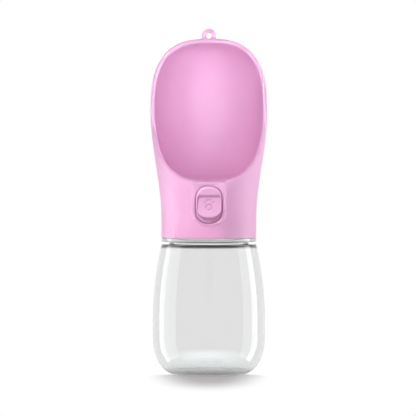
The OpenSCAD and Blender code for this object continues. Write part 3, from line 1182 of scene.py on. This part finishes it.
    def skirt_thread(self, outlines: HeadOutlines, x: Array, y: Array, z: Array) -> Array:
        """The ridge inside the skirt that runs in the neck's thread."""
        skirt_z, socket_r = outlines.skirt_z, self.skirt_r - self.skirt_wall
        away = self.thread.offset(np.arctan2(y, x), z, skirt_z + self.ridge_foot)
        ridge = np.hypot(np.hypot(x, y) - socket_r, away) - self.thread.depth
        return meet(ridge, slab(z, skirt_z + self.ridge_low, skirt_z + self.ridge_high), self.ridge_round)

    def screw_distance(self, x: Array, y: Array) -> Array:
        """Distance from the axis of the nearest of the four screws."""
        return np.hypot(np.abs(x) - self.screw_x, np.abs(y) - self.screw_y)

    def bosses(self, x: Array, y: Array, z: Array) -> Array:
        """The four screw bosses, their ribs and the drain's collar.

        Args:
            x, y, z: where to measure.

        Returns:
            The distance at each place, negative inside.
        """
        socket_r = self.skirt_r - self.skirt_wall
        posts = self.screw_distance(x, y) - self.boss_r
        posts = np.maximum(posts, slab(z, self.plate_top, self.dish_z + 1))
        lean = math.atan2(self.screw_y, self.screw_x)
        along = np.abs(x) * math.cos(lean) + np.abs(y) * math.sin(lean)
        across = np.abs(x) * math.sin(lean) - np.abs(y) * math.cos(lean)
        run = slab(along, self.screw_x + self.rib_gap, socket_r + 1)
        ribs = np.maximum(run, np.abs(across) - self.rib_t / 2)
        ribs = np.maximum(ribs, slab(z, self.plate_top + self.rib_foot, self.dish_z))
        drain = np.hypot(x, y - self.drain_y)
        collar = np.maximum(drain - self.collar_r, slab(z, self.collar_z, self.dish_z + 1))
        return np.minimum(np.minimum(posts, ribs), collar)

    def bored(self, body: Array, x: Array, y: Array, z: Array) -> Array:
        """The body with its screw holes, the riser's socket and the drain.

        Args:
            body: distance to the body.
            x, y, z: where it was measured.

        Returns:
            The distance to the bored body.
        """
        drain = np.hypot(x, y - self.drain_y)
        holes = np.maximum(self.screw_distance(x, y) - self.screw_bore, z - self.screw_end)
        body = np.maximum(body, -holes)
        riser = slab(z, self.collar_z - 1, self.riser_top + self.riser_play)
        body = np.maximum(body, -np.maximum(drain - self.collar_r + self.collar_wall, riser))
        well = np.maximum(drain - self.drain_r, slab(z, self.riser_top - 0.5, self.dish_z + 11.5))
        return carve(body, well, 0.5)

    def windowed(self, body: Array, x: Array, y: Array, z: Array) -> Array:
        """The body with the button's window and the pockets beside it for the button's wings.

        Args:
            body: distance to the body.
            x, y, z: where it was measured.

        Returns:
            The distance to the cut body.
        """
        window = rounded(x, z - self.window_z, self.window_w, self.window_h, self.window_round)
        body = carve(body, np.maximum(window, y + self.pocket_back), self.window_edge)
        wings = np.maximum(np.abs(x) - self.wing_x, np.abs(z - self.window_z) - self.wing_h / 2)
        wings = np.maximum(wings, slab(y, -self.pod_face + self.wing_lip, -self.pocket_back))
        return np.maximum(body, -wings)

    def solid(self) -> Field:
        """Puts the head together.

        Returns:
            Its distance field.
        """
        outlines = self.outlines()

        def head(x: Array, y: Array, z: Array) -> Array:
            """Signed distance to the head."""
            r = np.hypot(x, y)
            loop = np.hypot(x, z - outlines.hole_z)
            body = join(outlines.outside(r, z), self.pod_block(outlines, x, y, z), self.pod_fillet)
            body = carve(body, outlines.socket(r, z), self.socket_round)
            body = join(body, self.skirt_thread(outlines, x, y, z), self.ridge_fillet)
            body = join(body, self.bosses(x, y, z), self.inside_fillet)
            disc = meet(loop - self.loop_r, np.abs(y) - self.loop_t / 2, self.loop_round)
            body = join(body, disc, self.loop_fillet)
            body = carve(body, outlines.hollow(r, z), self.hollow_round)
            body = carve(body, outlines.front(y, z), self.lip_round)
            body = carve(body, loop - self.loop_hole_r, self.loop_hole_round)
            return self.windowed(self.bored(body, x, y, z), x, y, z)

        return head

    def build(self, palette: Palette) -> bpy.types.Object:
        """Makes the head in the place of its CAD node.

        Args:
            palette: the materials.

        Returns:
            The head.
        """
        low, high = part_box("head_shell")
        side, fine, coarse = high[0] / MM + 2, 0.42, 0.66
        across = lines((-side, -13, coarse), (-13, 13, fine), (13, side, coarse))
        deep = lines(
            (-side, -33, 0.7), (-33, -22, fine), (-22, -3, coarse), (-3, 3, fine), (3, side, coarse)
        )
        up = lines((low[2] / MM - 1, 122, fine), (122, 206, 0.68), (206, high[2] / MM + 1, fine))
        piece = moulding("drinking_head", self.solid(), (across, deep, up))
        fit(piece, "head_shell", "head")
        return palette.paint(piece, Slot.PINK)


# ---------------------------------------------------------------- the button and its thumb slide


@dataclass(frozen=True)
class PushButton:
    """The button's plate with its wings, its slots for the slide and the arm that lowers the valve."""

    window_z: float = 106.65
    width: float = 16.7
    height: float = 22.9
    round_r: float = 7.7
    edge: float = 0.2
    face: float = 29.3
    back: float = 27.5
    wing_x: float = 9.45
    wing_front: float = 28.25
    wing_h: float = 14.0
    wing_edge: float = 0.15
    flange_x: float = 8.55
    flange_side: float = 0.8
    flange_back: float = 26.95
    arm_w: float = 8.0
    arm_z: float = 103.6
    arm_top: float = 110.5
    arm_tip: float = 8.3
    arm_nose: float = 1.2
    arm_edge: float = 0.3
    ramp_top: float = 108.28
    spigot_r: float = 1.4
    spigot_h: float = 1.5
    spigot_z: float = 100.3
    spigot_edge: float = 0.25
    root_fillet: float = 0.2
    slot_x: float = 5.8
    slot_w: float = 2.2
    slot_low: float = 101.25
    slot_high: float = 109.75

    def arm_outline(self) -> Array:
        """The arm's outline, seen from the side, as (Y, height)."""
        root = -self.back - 0.5
        ramp_foot = self.arm_tip + self.ramp_top - self.arm_z
        return np.array(
            [
                (root, self.arm_z),
                (-ramp_foot, self.arm_z),
                (-self.arm_tip, self.ramp_top),
                (-self.arm_tip, self.arm_top - self.arm_nose),
                (-self.arm_tip - self.arm_nose, self.arm_top),
                (root, self.arm_top),
            ]
        )

    def solid(self) -> Field:
        """Puts the button together.

        Returns:
            Its distance field.
        """
        arm_map = Outline(self.arm_outline(), (-32, 92), (-5, 120), 0.1)
        low, high = self.window_z - self.wing_h / 2, self.window_z + self.wing_h / 2

        def button(x: Array, y: Array, z: Array) -> Array:
            """Signed distance to the button."""
            plate = rounded(x, z - self.window_z, self.width, self.height, self.round_r)
            plate = meet(plate, slab(y, -self.face, -self.back), self.edge)
            start, end = (-self.wing_x, -self.wing_front, low), (self.wing_x, -self.back, high)
            wing = block(x, y, z, start, end, self.wing_edge)
            start = (self.flange_x - self.flange_side, -self.back - 0.5, low)
            end = (self.flange_x + self.flange_side, -self.flange_back, high)
            flange = block(np.abs(x), y, z, start, end, self.wing_edge)
            arm = meet(arm_map(y, z), np.abs(x) - self.arm_w / 2, self.arm_edge)
            spigot = np.hypot(x, z - self.spigot_z) - self.spigot_r
            spigot = meet(spigot, slab(y, -self.back - 1, -self.back + self.spigot_h), self.spigot_edge)
            body = np.minimum(np.minimum(plate, wing), flange)
            body = join(body, np.minimum(arm, spigot), self.root_fillet)
            slot = np.abs(np.abs(x) - self.slot_x) - self.slot_w / 2
            slot = np.maximum(slot, slab(z, self.slot_low, self.slot_high))
            slot = np.maximum(slot, slab(y, -self.face - 1, -self.back + 1))
            return np.maximum(body, -slot)

        return button

    def build(self, palette: Palette) -> bpy.types.Object:
        """Makes the button in the place of its CAD node.

        Args:
            palette: the materials.

        Returns:
            The button.
        """
        across, up = lines((-10.4, 10.4, 0.26)), lines((94.6, 118.7, 0.26))
        deep = lines((-30.2, -26, 0.22), (-26, -7.4, 0.4))
        piece = moulding("button_plate", self.solid(), (across, deep, up))
        fit(piece, "push_button", "button")
        return palette.paint(piece, Slot.BUTTON)


@dataclass(frozen=True)
class ThumbSlide:
    """The thumb slide: a pad with a finger hollow, a plain engraved paw, and two legs with barbs behind."""

    middle_z: float = 107.9
    window_z: float = 106.65
    width: float = 16.5
    height: float = 20.3
    round_r: float = 7.4
    edge: float = 1.7
    face: float = 31.65
    back: float = 29.35
    hollow_w: float = 14.6
    hollow_low: float = 97.2
    hollow_high: float = 112.6
    hollow_past: float = 6.0
    hollow_round: float = 6.5
    hollow_z: float = 109.5
    hollow_depth: float = 1.5
    hollow_r: float = 35.4
    hollow_foot: float = 0.35
    hollow_edge: float = 0.3
    engraving: float = 0.5
    engraving_edge: float = 0.12
    paw_z: float = 104.85
    paw_ring: float = 1.7
    paw_line: float = 0.34
    paw_squash: float = 0.8
    # Each toe's direction in degrees, its distance from the middle of the ring and its radius
    paw_toes: tuple[tuple[float, float, float], ...] = (
        (48, 4.0, 0.5),
        (78, 4.4, 0.55),
        (102, 4.4, 0.55),
        (132, 4.0, 0.5),
    )
    leg_x: float = 5.8
    leg_w: float = 2.0
    leg_h: float = 6.0
    leg_tip: float = 26.45
    leg_edge: float = 0.1
    barb_in: float = 0.5
    barb_t: float = 1.0
    barb_w: float = 0.8
    barb_edge: float = 0.15

    def paw(self, x: Array, z: Array) -> Array:
        """Outline of a plain paw: a ring for the pad under four toes.

        Args:
            x, z: where to measure.

        Returns:
            The distance at each place, negative inside.
        """
        up = z - self.paw_z
        pad = np.abs(np.hypot(x, up) - self.paw_ring) - self.paw_line
        for angle, reach, size in self.paw_toes:
            across = reach * math.cos(math.radians(angle))
            rise = reach * math.sin(math.radians(angle))
            pad = np.minimum(pad, np.hypot(x - across, (up - rise) * self.paw_squash) - size)
        return pad

    def pad(self, x: Array, y: Array, z: Array) -> Array:
        """The pad with its finger hollow, the ledge above that and the paw.

        Args:
            x, y, z: where to measure.

        Returns:
            The distance at each place, negative inside.
        """
        centre_y = -self.face - self.hollow_r + self.hollow_depth
        middle = (self.hollow_low + self.hollow_high) / 2
        tall = self.hollow_high - self.hollow_low
        body = rounded(x, z - self.middle_z, self.width, self.height, self.round_r)
        body = meet(body, slab(y, -self.face, -self.back + self.edge), self.edge)
        body = np.maximum(body, y + self.back)
        bowl = np.hypot(y - centre_y, z - self.hollow_z) - self.hollow_r
        sides = rounded(x, z - middle, self.hollow_w, tall + self.hollow_past, self.hollow_round)
        step = (z - self.hollow_high + y + self.face) * math.sqrt(0.5)
        hollow = meet(bowl, np.maximum(sides, step), self.hollow_foot)
        body = carve(body, hollow, self.hollow_edge)
        engraved = meet(self.paw(x, z), bowl - self.engraving, self.engraving_edge)
        return carve(body, engraved, self.engraving_edge)

    def solid(self) -> Field:
        """Puts the slide together.

        Returns:
            Its distance field.
        """
        low, high = self.window_z - self.leg_h / 2, self.window_z + self.leg_h / 2

        def slide(x: Array, y: Array, z: Array) -> Array:
            """Signed distance to the slide."""
            start = (self.leg_x - self.leg_w / 2, -self.back - 0.5, low)
            end = (self.leg_x + self.leg_w / 2, -self.leg_tip, high)
            leg = block(np.abs(x), y, z, start, end, self.leg_edge)
            start = (self.leg_x - self.barb_in, -self.leg_tip - self.barb_t, low)
            end = (self.leg_x + self.leg_w / 2 + self.barb_w, -self.leg_tip, high)
            barb = block(np.abs(x), y, z, start, end, self.barb_edge)
            return np.minimum(self.pad(x, y, z), np.minimum(leg, barb))

        return slide

    def build(self, palette: Palette) -> bpy.types.Object:
        """Makes the slide in the place of its CAD node.

        Args:
            palette: the materials.

        Returns:
            The slide.
        """
        across, deep = lines((-8.8, 8.8, 0.16)), lines((-32.2, -25.8, 0.16))
        up = lines((97, 118.5, 0.16))
        piece = moulding("thumb_slide", self.solid(), (across, deep, up))
        fit(piece, "lock_slider", "lock")
        return palette.paint(piece, Slot.BUTTON)


# ---------------------------------------------------------------- springs and the other inner pieces


@dataclass(frozen=True)
class Spring:
    """A coil of round wire with closed ends, from its fixed end along an axis, in millimetres."""

    node: str
    joint: str
    start: tuple[float, float, float]
    end: tuple[float, float, float]
    radius: float
    turns: float
    keep: float
    wire: float = 0.5
    play: float = 0.05
    closed_turns: float = 0.75
    closed_rise: float = 0.06
    steps: int = 32
    sides: int = 10
    sharp: float = 50

    @property
    def axis(self) -> Vector:
        """Direction from the fixed end to the other."""
        return (Vector(self.end) - Vector(self.start)).normalized()

    def coil(self) -> list[Vector]:
        """The wire's middle line, which hardly climbs in its closed ends."""
        start, axis = Vector(self.start), self.axis
        side = axis.orthogonal().normalized()
        other = axis.cross(side)
        length = (Vector(self.end) - start).length - self.wire - 2 * self.play
        share = np.linspace(0, 1, int(self.steps * self.turns) + 1)
        closed = self.closed_turns / self.turns
        rise = np.clip((share - closed) / (1 - 2 * closed), 0, 1)
        rise = share * self.closed_rise + (1 - self.closed_rise) * rise
        centre = []
        for up, turn in zip(rise, 2 * math.pi * self.turns * share):
            along = start + axis * (self.wire / 2 + self.play + length * float(up))
            centre.append(along + self.radius * (side * math.cos(turn) + other * math.sin(turn)))
        return centre

    def skin(self, centre: Sequence[Vector]) -> list[Vector]:
        """The points on the wire's surface.

        Args:
            centre: the wire's middle line.

        Returns:
            A ring of points round each of its points.
        """
        start, axis = Vector(self.start), self.axis
        last = len(centre) - 1
        points = []
        for number, place in enumerate(centre):
            ahead = (centre[min(number + 1, last)] - centre[max(number - 1, 0)]).normalized()
            out = place - start
            out = (out - axis * out.dot(axis)).normalized()
            up = ahead.cross(out).normalized()
            for side in range(self.sides):
                turn = 2 * math.pi * side / self.sides
                points.append(place + self.wire / 2 * (out * math.cos(turn) + up * math.sin(turn)))
        return points

    def build(self, palette: Palette) -> bpy.types.Object:
        """Makes the spring in the place of its CAD node.

        Args:
            palette: the materials.

        Returns:
            The spring.
        """
        centre, sides = self.coil(), self.sides
        last = len(centre) - 1
        faces: list[Sequence[int]] = []
        for ring in range(0, last * sides, sides):
            for k in range(sides):
                after = (k + 1) % sides
                faces.append((ring + k, ring + after, ring + sides + after, ring + sides + k))
        faces.append(tuple(reversed(range(sides))))
        faces.append(tuple(range(last * sides, (last + 1) * sides)))
        piece = new_object(self.node + "_wire", self.skin(centre), faces, sharp=self.sharp)
        fit(piece, self.node, "head")
        palette.paint(piece, Slot.STEEL)
        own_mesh(piece)
        return piece


SPRINGS = (
    Spring("valve_spring", "valve_lift", (0, -8, 98.0), (0, -8, 103.8), 2.35, 5, 0.57),
    Spring("button_spring", "button_press", (0, -17.5, 100.3), (0, -27.5, 100.3), 1.95, 7, 0.75),
)


def paint_inner_pieces(frame: dict, palette: Palette, replaced: set[str]) -> list[bpy.types.Object]:
    """Gives each CAD node that stays the material of its slot in the record.

    Args:
        frame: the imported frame.
        palette: the materials.
        replaced: names of the nodes that the scene's own pieces replace.

    Returns:
        The painted nodes.
    """
    return [
        palette.paint(frame["nodes"][part["node"]], Slot(part["material_slot"]))
        for part in frame["record"]["subparts"]
        if part["node"] not in replaced
    ]


# ---------------------------------------------------------------- light and camera


# The pieces that a lamp's flags let it reach
HEAD = ("drinking_head",)
BUTTON = ("button_plate", "thumb_slide")
FLOOR = ("floor",)

# Faint colour filters before the lamps, for the photograph's own tint
COOL = "#FAFFFF"
MINT = "#E6FFFA"
PALE_MINT = "#ECFFFB"
ROSE = "#FFF2FB"


@dataclass(frozen=True)
class Lamp:
    """A soft box: its place, its target, its size in metres and its level, where 1 is the background's.

    The level of a card is its own brightness, and it only shows as a reflection, as a photographer's
    white card does. The level of the others is what they give a white matt surface at their target,
    and only those that shine show as a highlight too. A grid narrows the light to a cone of so many
    degrees, and flags keep it off all but the pieces that it falls on.
    """

    name: str
    place: tuple[float, float, float]
    target: tuple[float, float, float]
    size: tuple[float, float]
    level: float
    grid: float = 180
    shines: bool = False
    card: bool = False
    falls_on: tuple[str, ...] = ()
    colour: str = COOL

    @property
    def watts(self) -> float:
        """Power that gives the level."""
        if self.card:
            return self.level * math.pi * self.size[0] * self.size[1]
        half = math.radians(self.grid) / 2
        distance = (Vector(self.target) - Vector(self.place)).length
        return self.level * (math.pi * distance) ** 2 * (1 - half / math.tan(half))

    def build(self) -> None:
        """Makes the lamp, with its flags."""
        data = bpy.data.lights.new(self.name, "AREA")
        data.shape = "RECTANGLE"
        data.size, data.size_y = self.size
        data.energy = self.watts
        data.spread = math.radians(self.grid)
        data.color = linear(self.colour)[:3]
        lamp = bpy.data.objects.new(self.name, data)
        lamp.location = self.place
        aim = Vector(self.target) - Vector(self.place)
        lamp.rotation_euler = aim.to_track_quat("-Z", "Y").to_euler()
        lamp.visible_glossy = self.card or self.shines
        lamp.visible_diffuse = not self.card
        lamp.visible_transmission = False
        if self.falls_on:
            flagged = bpy.data.collections.new(self.name + "_falls_on")
            for name in self.falls_on:
                flagged.objects.link(bpy.data.objects[name])
            lamp.light_linking.receiver_collection = flagged
        bpy.context.scene.collection.objects.link(lamp)


LAMPS = (
    Lamp(
        "front", (0.0, -0.8, 0.19), (0, 0, 0.19), (0.1, 0.04), 0.48,
        grid=15, shines=True, falls_on=HEAD, colour=MINT,
    ),
    Lamp(
        "bowl_left", (-0.42, -0.68, 0.2), (0, 0, 0.195), (0.2, 0.05), 0.36,
        grid=13, shines=True, falls_on=HEAD, colour=PALE_MINT,
    ),
    Lamp(
        "bowl_right", (0.42, -0.68, 0.2), (0, 0, 0.195), (0.2, 0.05), 0.36,
        grid=13, shines=True, falls_on=HEAD, colour=PALE_MINT,
    ),
    Lamp("fill", (0.1, -1.2, 0.12), (0, 0, 0.14), (0.4, 0.4), 0.15, falls_on=HEAD, colour=ROSE),
    Lamp(
        "left", (-0.54, -0.42, 0.32), (-0.004, -0.03, 0.09), (0.04, 0.04), 0.62,
        grid=12, falls_on=HEAD, colour=ROSE,
    ),
    # The button's darker pink is painted shade that offsets this lamp
    Lamp(
        "button_light", (-0.28, -0.46, 0.62), (0, -0.03, 0.107), (0.04, 0.04), 0.8,
        shines=True, falls_on=BUTTON,
    ),
    Lamp("right", (0.7, 0.25, 0.12), (0, 0, 0.12), (0.1, 0.4), 0.24, falls_on=HEAD, colour=ROSE),
    Lamp("back", (0, 1.2, 0.85), (0, 0, 0.05), (0.3, 0.3), 0.3),
    Lamp("floor_light", (0, 0.82, 0.6), (0, 0, 0.03), (0.15, 0.15), 1.1, falls_on=FLOOR),
    Lamp("card_left", (-0.6, -0.02, 0.3), (0, 0, 0.3), (0.37, 1.3), 1.6, card=True),
    Lamp("edge_left", (-0.55, 0.23, 0.3), (0, 0, 0.3), (0.18, 1.3), 2.8, card=True),
    Lamp("card_right", (0.6, -0.04, 0.3), (0, 0, 0.3), (0.27, 1.3), 1.2, card=True),
    Lamp("edge_right", (0.57, 0.18, 0.3), (0, 0, 0.3), (0.2, 1.3), 3.2, card=True),
)


@dataclass(frozen=True)
class Studio:
    """White backdrop, pale paper floor, soft boxes and the photograph's camera."""

    photo_size: int = 416
    mm_per_pixel: float = 0.6214
    base_row: float = 375.0
    axis_column: float = 208.93
    elevation: float = 1.3
    distance: float = 1.2
    clip_end: float = 20
    near: float = 0.13
    far: float = 0.5
    narrow: float = 12
    lift: float = 0.2
    ambient: float = 0.4
    ambient_colour: str = "#FFF1FA"
    floor_half: float = 2.0
    paper: tuple[float, float, float, float] = (0.8, 0.8, 0.8, 1)
    paper_shown: tuple[float, float, float, float] = (0.68, 0.72, 0.7, 1)
    paper_grain_mm: float = 0.8
    paper_relief_mm: float = 0.02
    white: tuple[float, float, float, float] = (1, 1, 1, 1)
    lamps: tuple[Lamp, ...] = LAMPS

    def seen(self, tree: bpy.types.NodeTree) -> bpy.types.NodeSocket:
        """Tells the rays by which the camera sees a surface, straight or through gloss and clear plastic.

        Args:
            tree: where the nodes go.

        Returns:
            1 for those rays and 0 for the others.
        """
        kind = "ShaderNodeMath"
        path = add_node(tree, "ShaderNodeLightPath").outputs
        direct = {0: path["Is Camera Ray"], 1: path["Is Glossy Ray"]}
        first = add_node(tree, kind, direct, operation="MAXIMUM")
        through = {0: first.outputs[0], 1: path["Is Transmission Ray"]}
        both = add_node(tree, kind, through, operation="MAXIMUM")
        bounces = {0: path["Diffuse Depth"], 1: 0.5}
        straight = add_node(tree, kind, bounces, operation="LESS_THAN")
        shown = {0: both.outputs[0], 1: straight.outputs[0]}
        return add_node(tree, kind, shown, operation="MULTIPLY").outputs[0]

    def backdrop(self) -> None:
        """A white world for the eye, and a softer one for the light it sheds."""
        world = bpy.data.worlds.new("backdrop")
        world.use_nodes = True
        tree = world.node_tree
        tree.nodes.clear()
        seen = self.seen(tree)
        levels = {"Value": seen, "To Min": self.ambient, "To Max": 1.0}
        level = add_node(tree, "ShaderNodeMapRange", levels)
        colours = {"Factor": seen, 6: linear(self.ambient_colour), 7: self.white}
        colour = add_node(tree, "ShaderNodeMix", colours, data_type="RGBA")
        shine = {"Color": colour.outputs[2], "Strength": level.outputs["Result"]}
        light = add_node(tree, "ShaderNodeBackground", shine)
        output = add_node(tree, "ShaderNodeOutputWorld")
        tree.links.new(light.outputs[0], output.inputs["Surface"])
        bpy.context.scene.world = world

    def paper_material(self) -> bpy.types.Material:
        """Matt paper that shows as white away from the object and keeps the object's shadow near it.

        Returns:
            The material.
        """
        material, tree, surface, place = new_material("paper_floor")
        fibres = speckle(tree, place, self.paper_grain_mm, 2)
        relief = {"Height": fibres, "Strength": 0.05, "Distance": self.paper_relief_mm * MM}
        grain = add_node(tree, "ShaderNodeBump", relief).outputs[0]
        paper = add_node(tree, "ShaderNodeBsdfDiffuse", {"Color": self.paper, "Normal": grain})
        narrowed = {0: place, 1: (self.narrow, 1, 1)}
        across = add_node(tree, "ShaderNodeVectorMath", narrowed, operation="MULTIPLY")
        away = add_node(tree, "ShaderNodeVectorMath", {0: across.outputs[0]}, operation="LENGTH")
        fade = {"Value": away.outputs["Value"], "From Min": self.near, "From Max": self.far}
        far = add_node(tree, "ShaderNodeMapRange", fade, interpolation_type="SMOOTHSTEP")
        shade = add_node(tree, "ShaderNodeBsdfDiffuse", {"Color": self.paper_shown, "Normal": grain})
        lift = add_node(tree, "ShaderNodeEmission", {"Color": self.white, "Strength": self.lift})
        lit = add_node(tree, "ShaderNodeAddShader", {0: shade.outputs[0], 1: lift.outputs[0]})
        glow = add_node(tree, "ShaderNodeEmission", {"Color": self.white, "Strength": 1.0})
        layers = {0: far.outputs["Result"], 1: lit.outputs[0], 2: glow.outputs[0]}
        shown = add_node(tree, "ShaderNodeMixShader", layers)
        sides = {0: self.seen(tree), 1: paper.outputs[0], 2: shown.outputs[0]}
        mixed = add_node(tree, "ShaderNodeMixShader", sides)
        tree.links.new(mixed.outputs[0], surface)
        return material

    def floor(self) -> None:
        """Lays the paper floor."""
        half = self.floor_half
        corners = [(-half, -half, 0), (half, -half, 0), (half, half, 0), (-half, half, 0)]
        material = self.paper_material()
        mesh = bpy.data.meshes.new("floor")
        mesh.from_pydata(corners, [], [(0, 1, 2, 3)])
        mesh.materials.append(material)
        floor = bpy.data.objects.new("floor", mesh)
        floor.visible_glossy = False
        bpy.context.scene.collection.objects.link(floor)

    def camera(self) -> None:
        """The photograph's camera: a long lens, almost level, from the drinking side."""
        data = bpy.data.cameras.new("photo_camera")
        data.type = "ORTHO"
        data.ortho_scale = self.photo_size * self.mm_per_pixel * MM
        data.clip_end = self.clip_end
        centre = self.photo_size / 2
        across = (centre - self.axis_column) * self.mm_per_pixel * MM
        up = (self.base_row - centre) * self.mm_per_pixel * MM
        lean = math.radians(self.elevation)
        camera = bpy.data.objects.new("photo_camera", data)
        camera.location = (across, -self.distance * math.cos(lean), up + self.distance * math.sin(lean))
        camera.rotation_euler = (math.pi / 2 - lean, 0, 0)
        bpy.context.scene.collection.objects.link(camera)
        bpy.context.scene.camera = camera

    def build(self) -> None:
        """Makes the backdrop, the floor, the lamps and the camera."""
        self.backdrop()
        self.floor()
        for lamp in self.lamps:
            lamp.build()
        self.camera()
        log.info("studio: %d lamps", len(self.lamps))
        bpy.context.scene.view_settings.view_transform = "Standard"


# ---------------------------------------------------------------- the whole scene


def report(piece: bpy.types.Object) -> None:
    """Reports a piece and its size."""
    size = " x ".join(f"{length / MM:.1f}" for length in piece.dimensions)
    log.info("%s: %s mm", piece.name, size)


def main() -> None:
    """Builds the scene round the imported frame."""
    logging.basicConfig(level=logging.INFO, format="%(name)s: %(message)s")
    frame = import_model()
    palette = Palette()
    for part in (ClearBottle(), DrinkingHead(), PushButton(), ThumbSlide(), *SPRINGS):
        report(part.build(palette))
    replaced = {"bottle", "head_shell", "push_button", "lock_slider", "valve_spring", "button_spring"}
    for piece in paint_inner_pieces(frame, palette, replaced):
        report(piece)
    Studio().build()


if __name__ == "__main__":
    main()
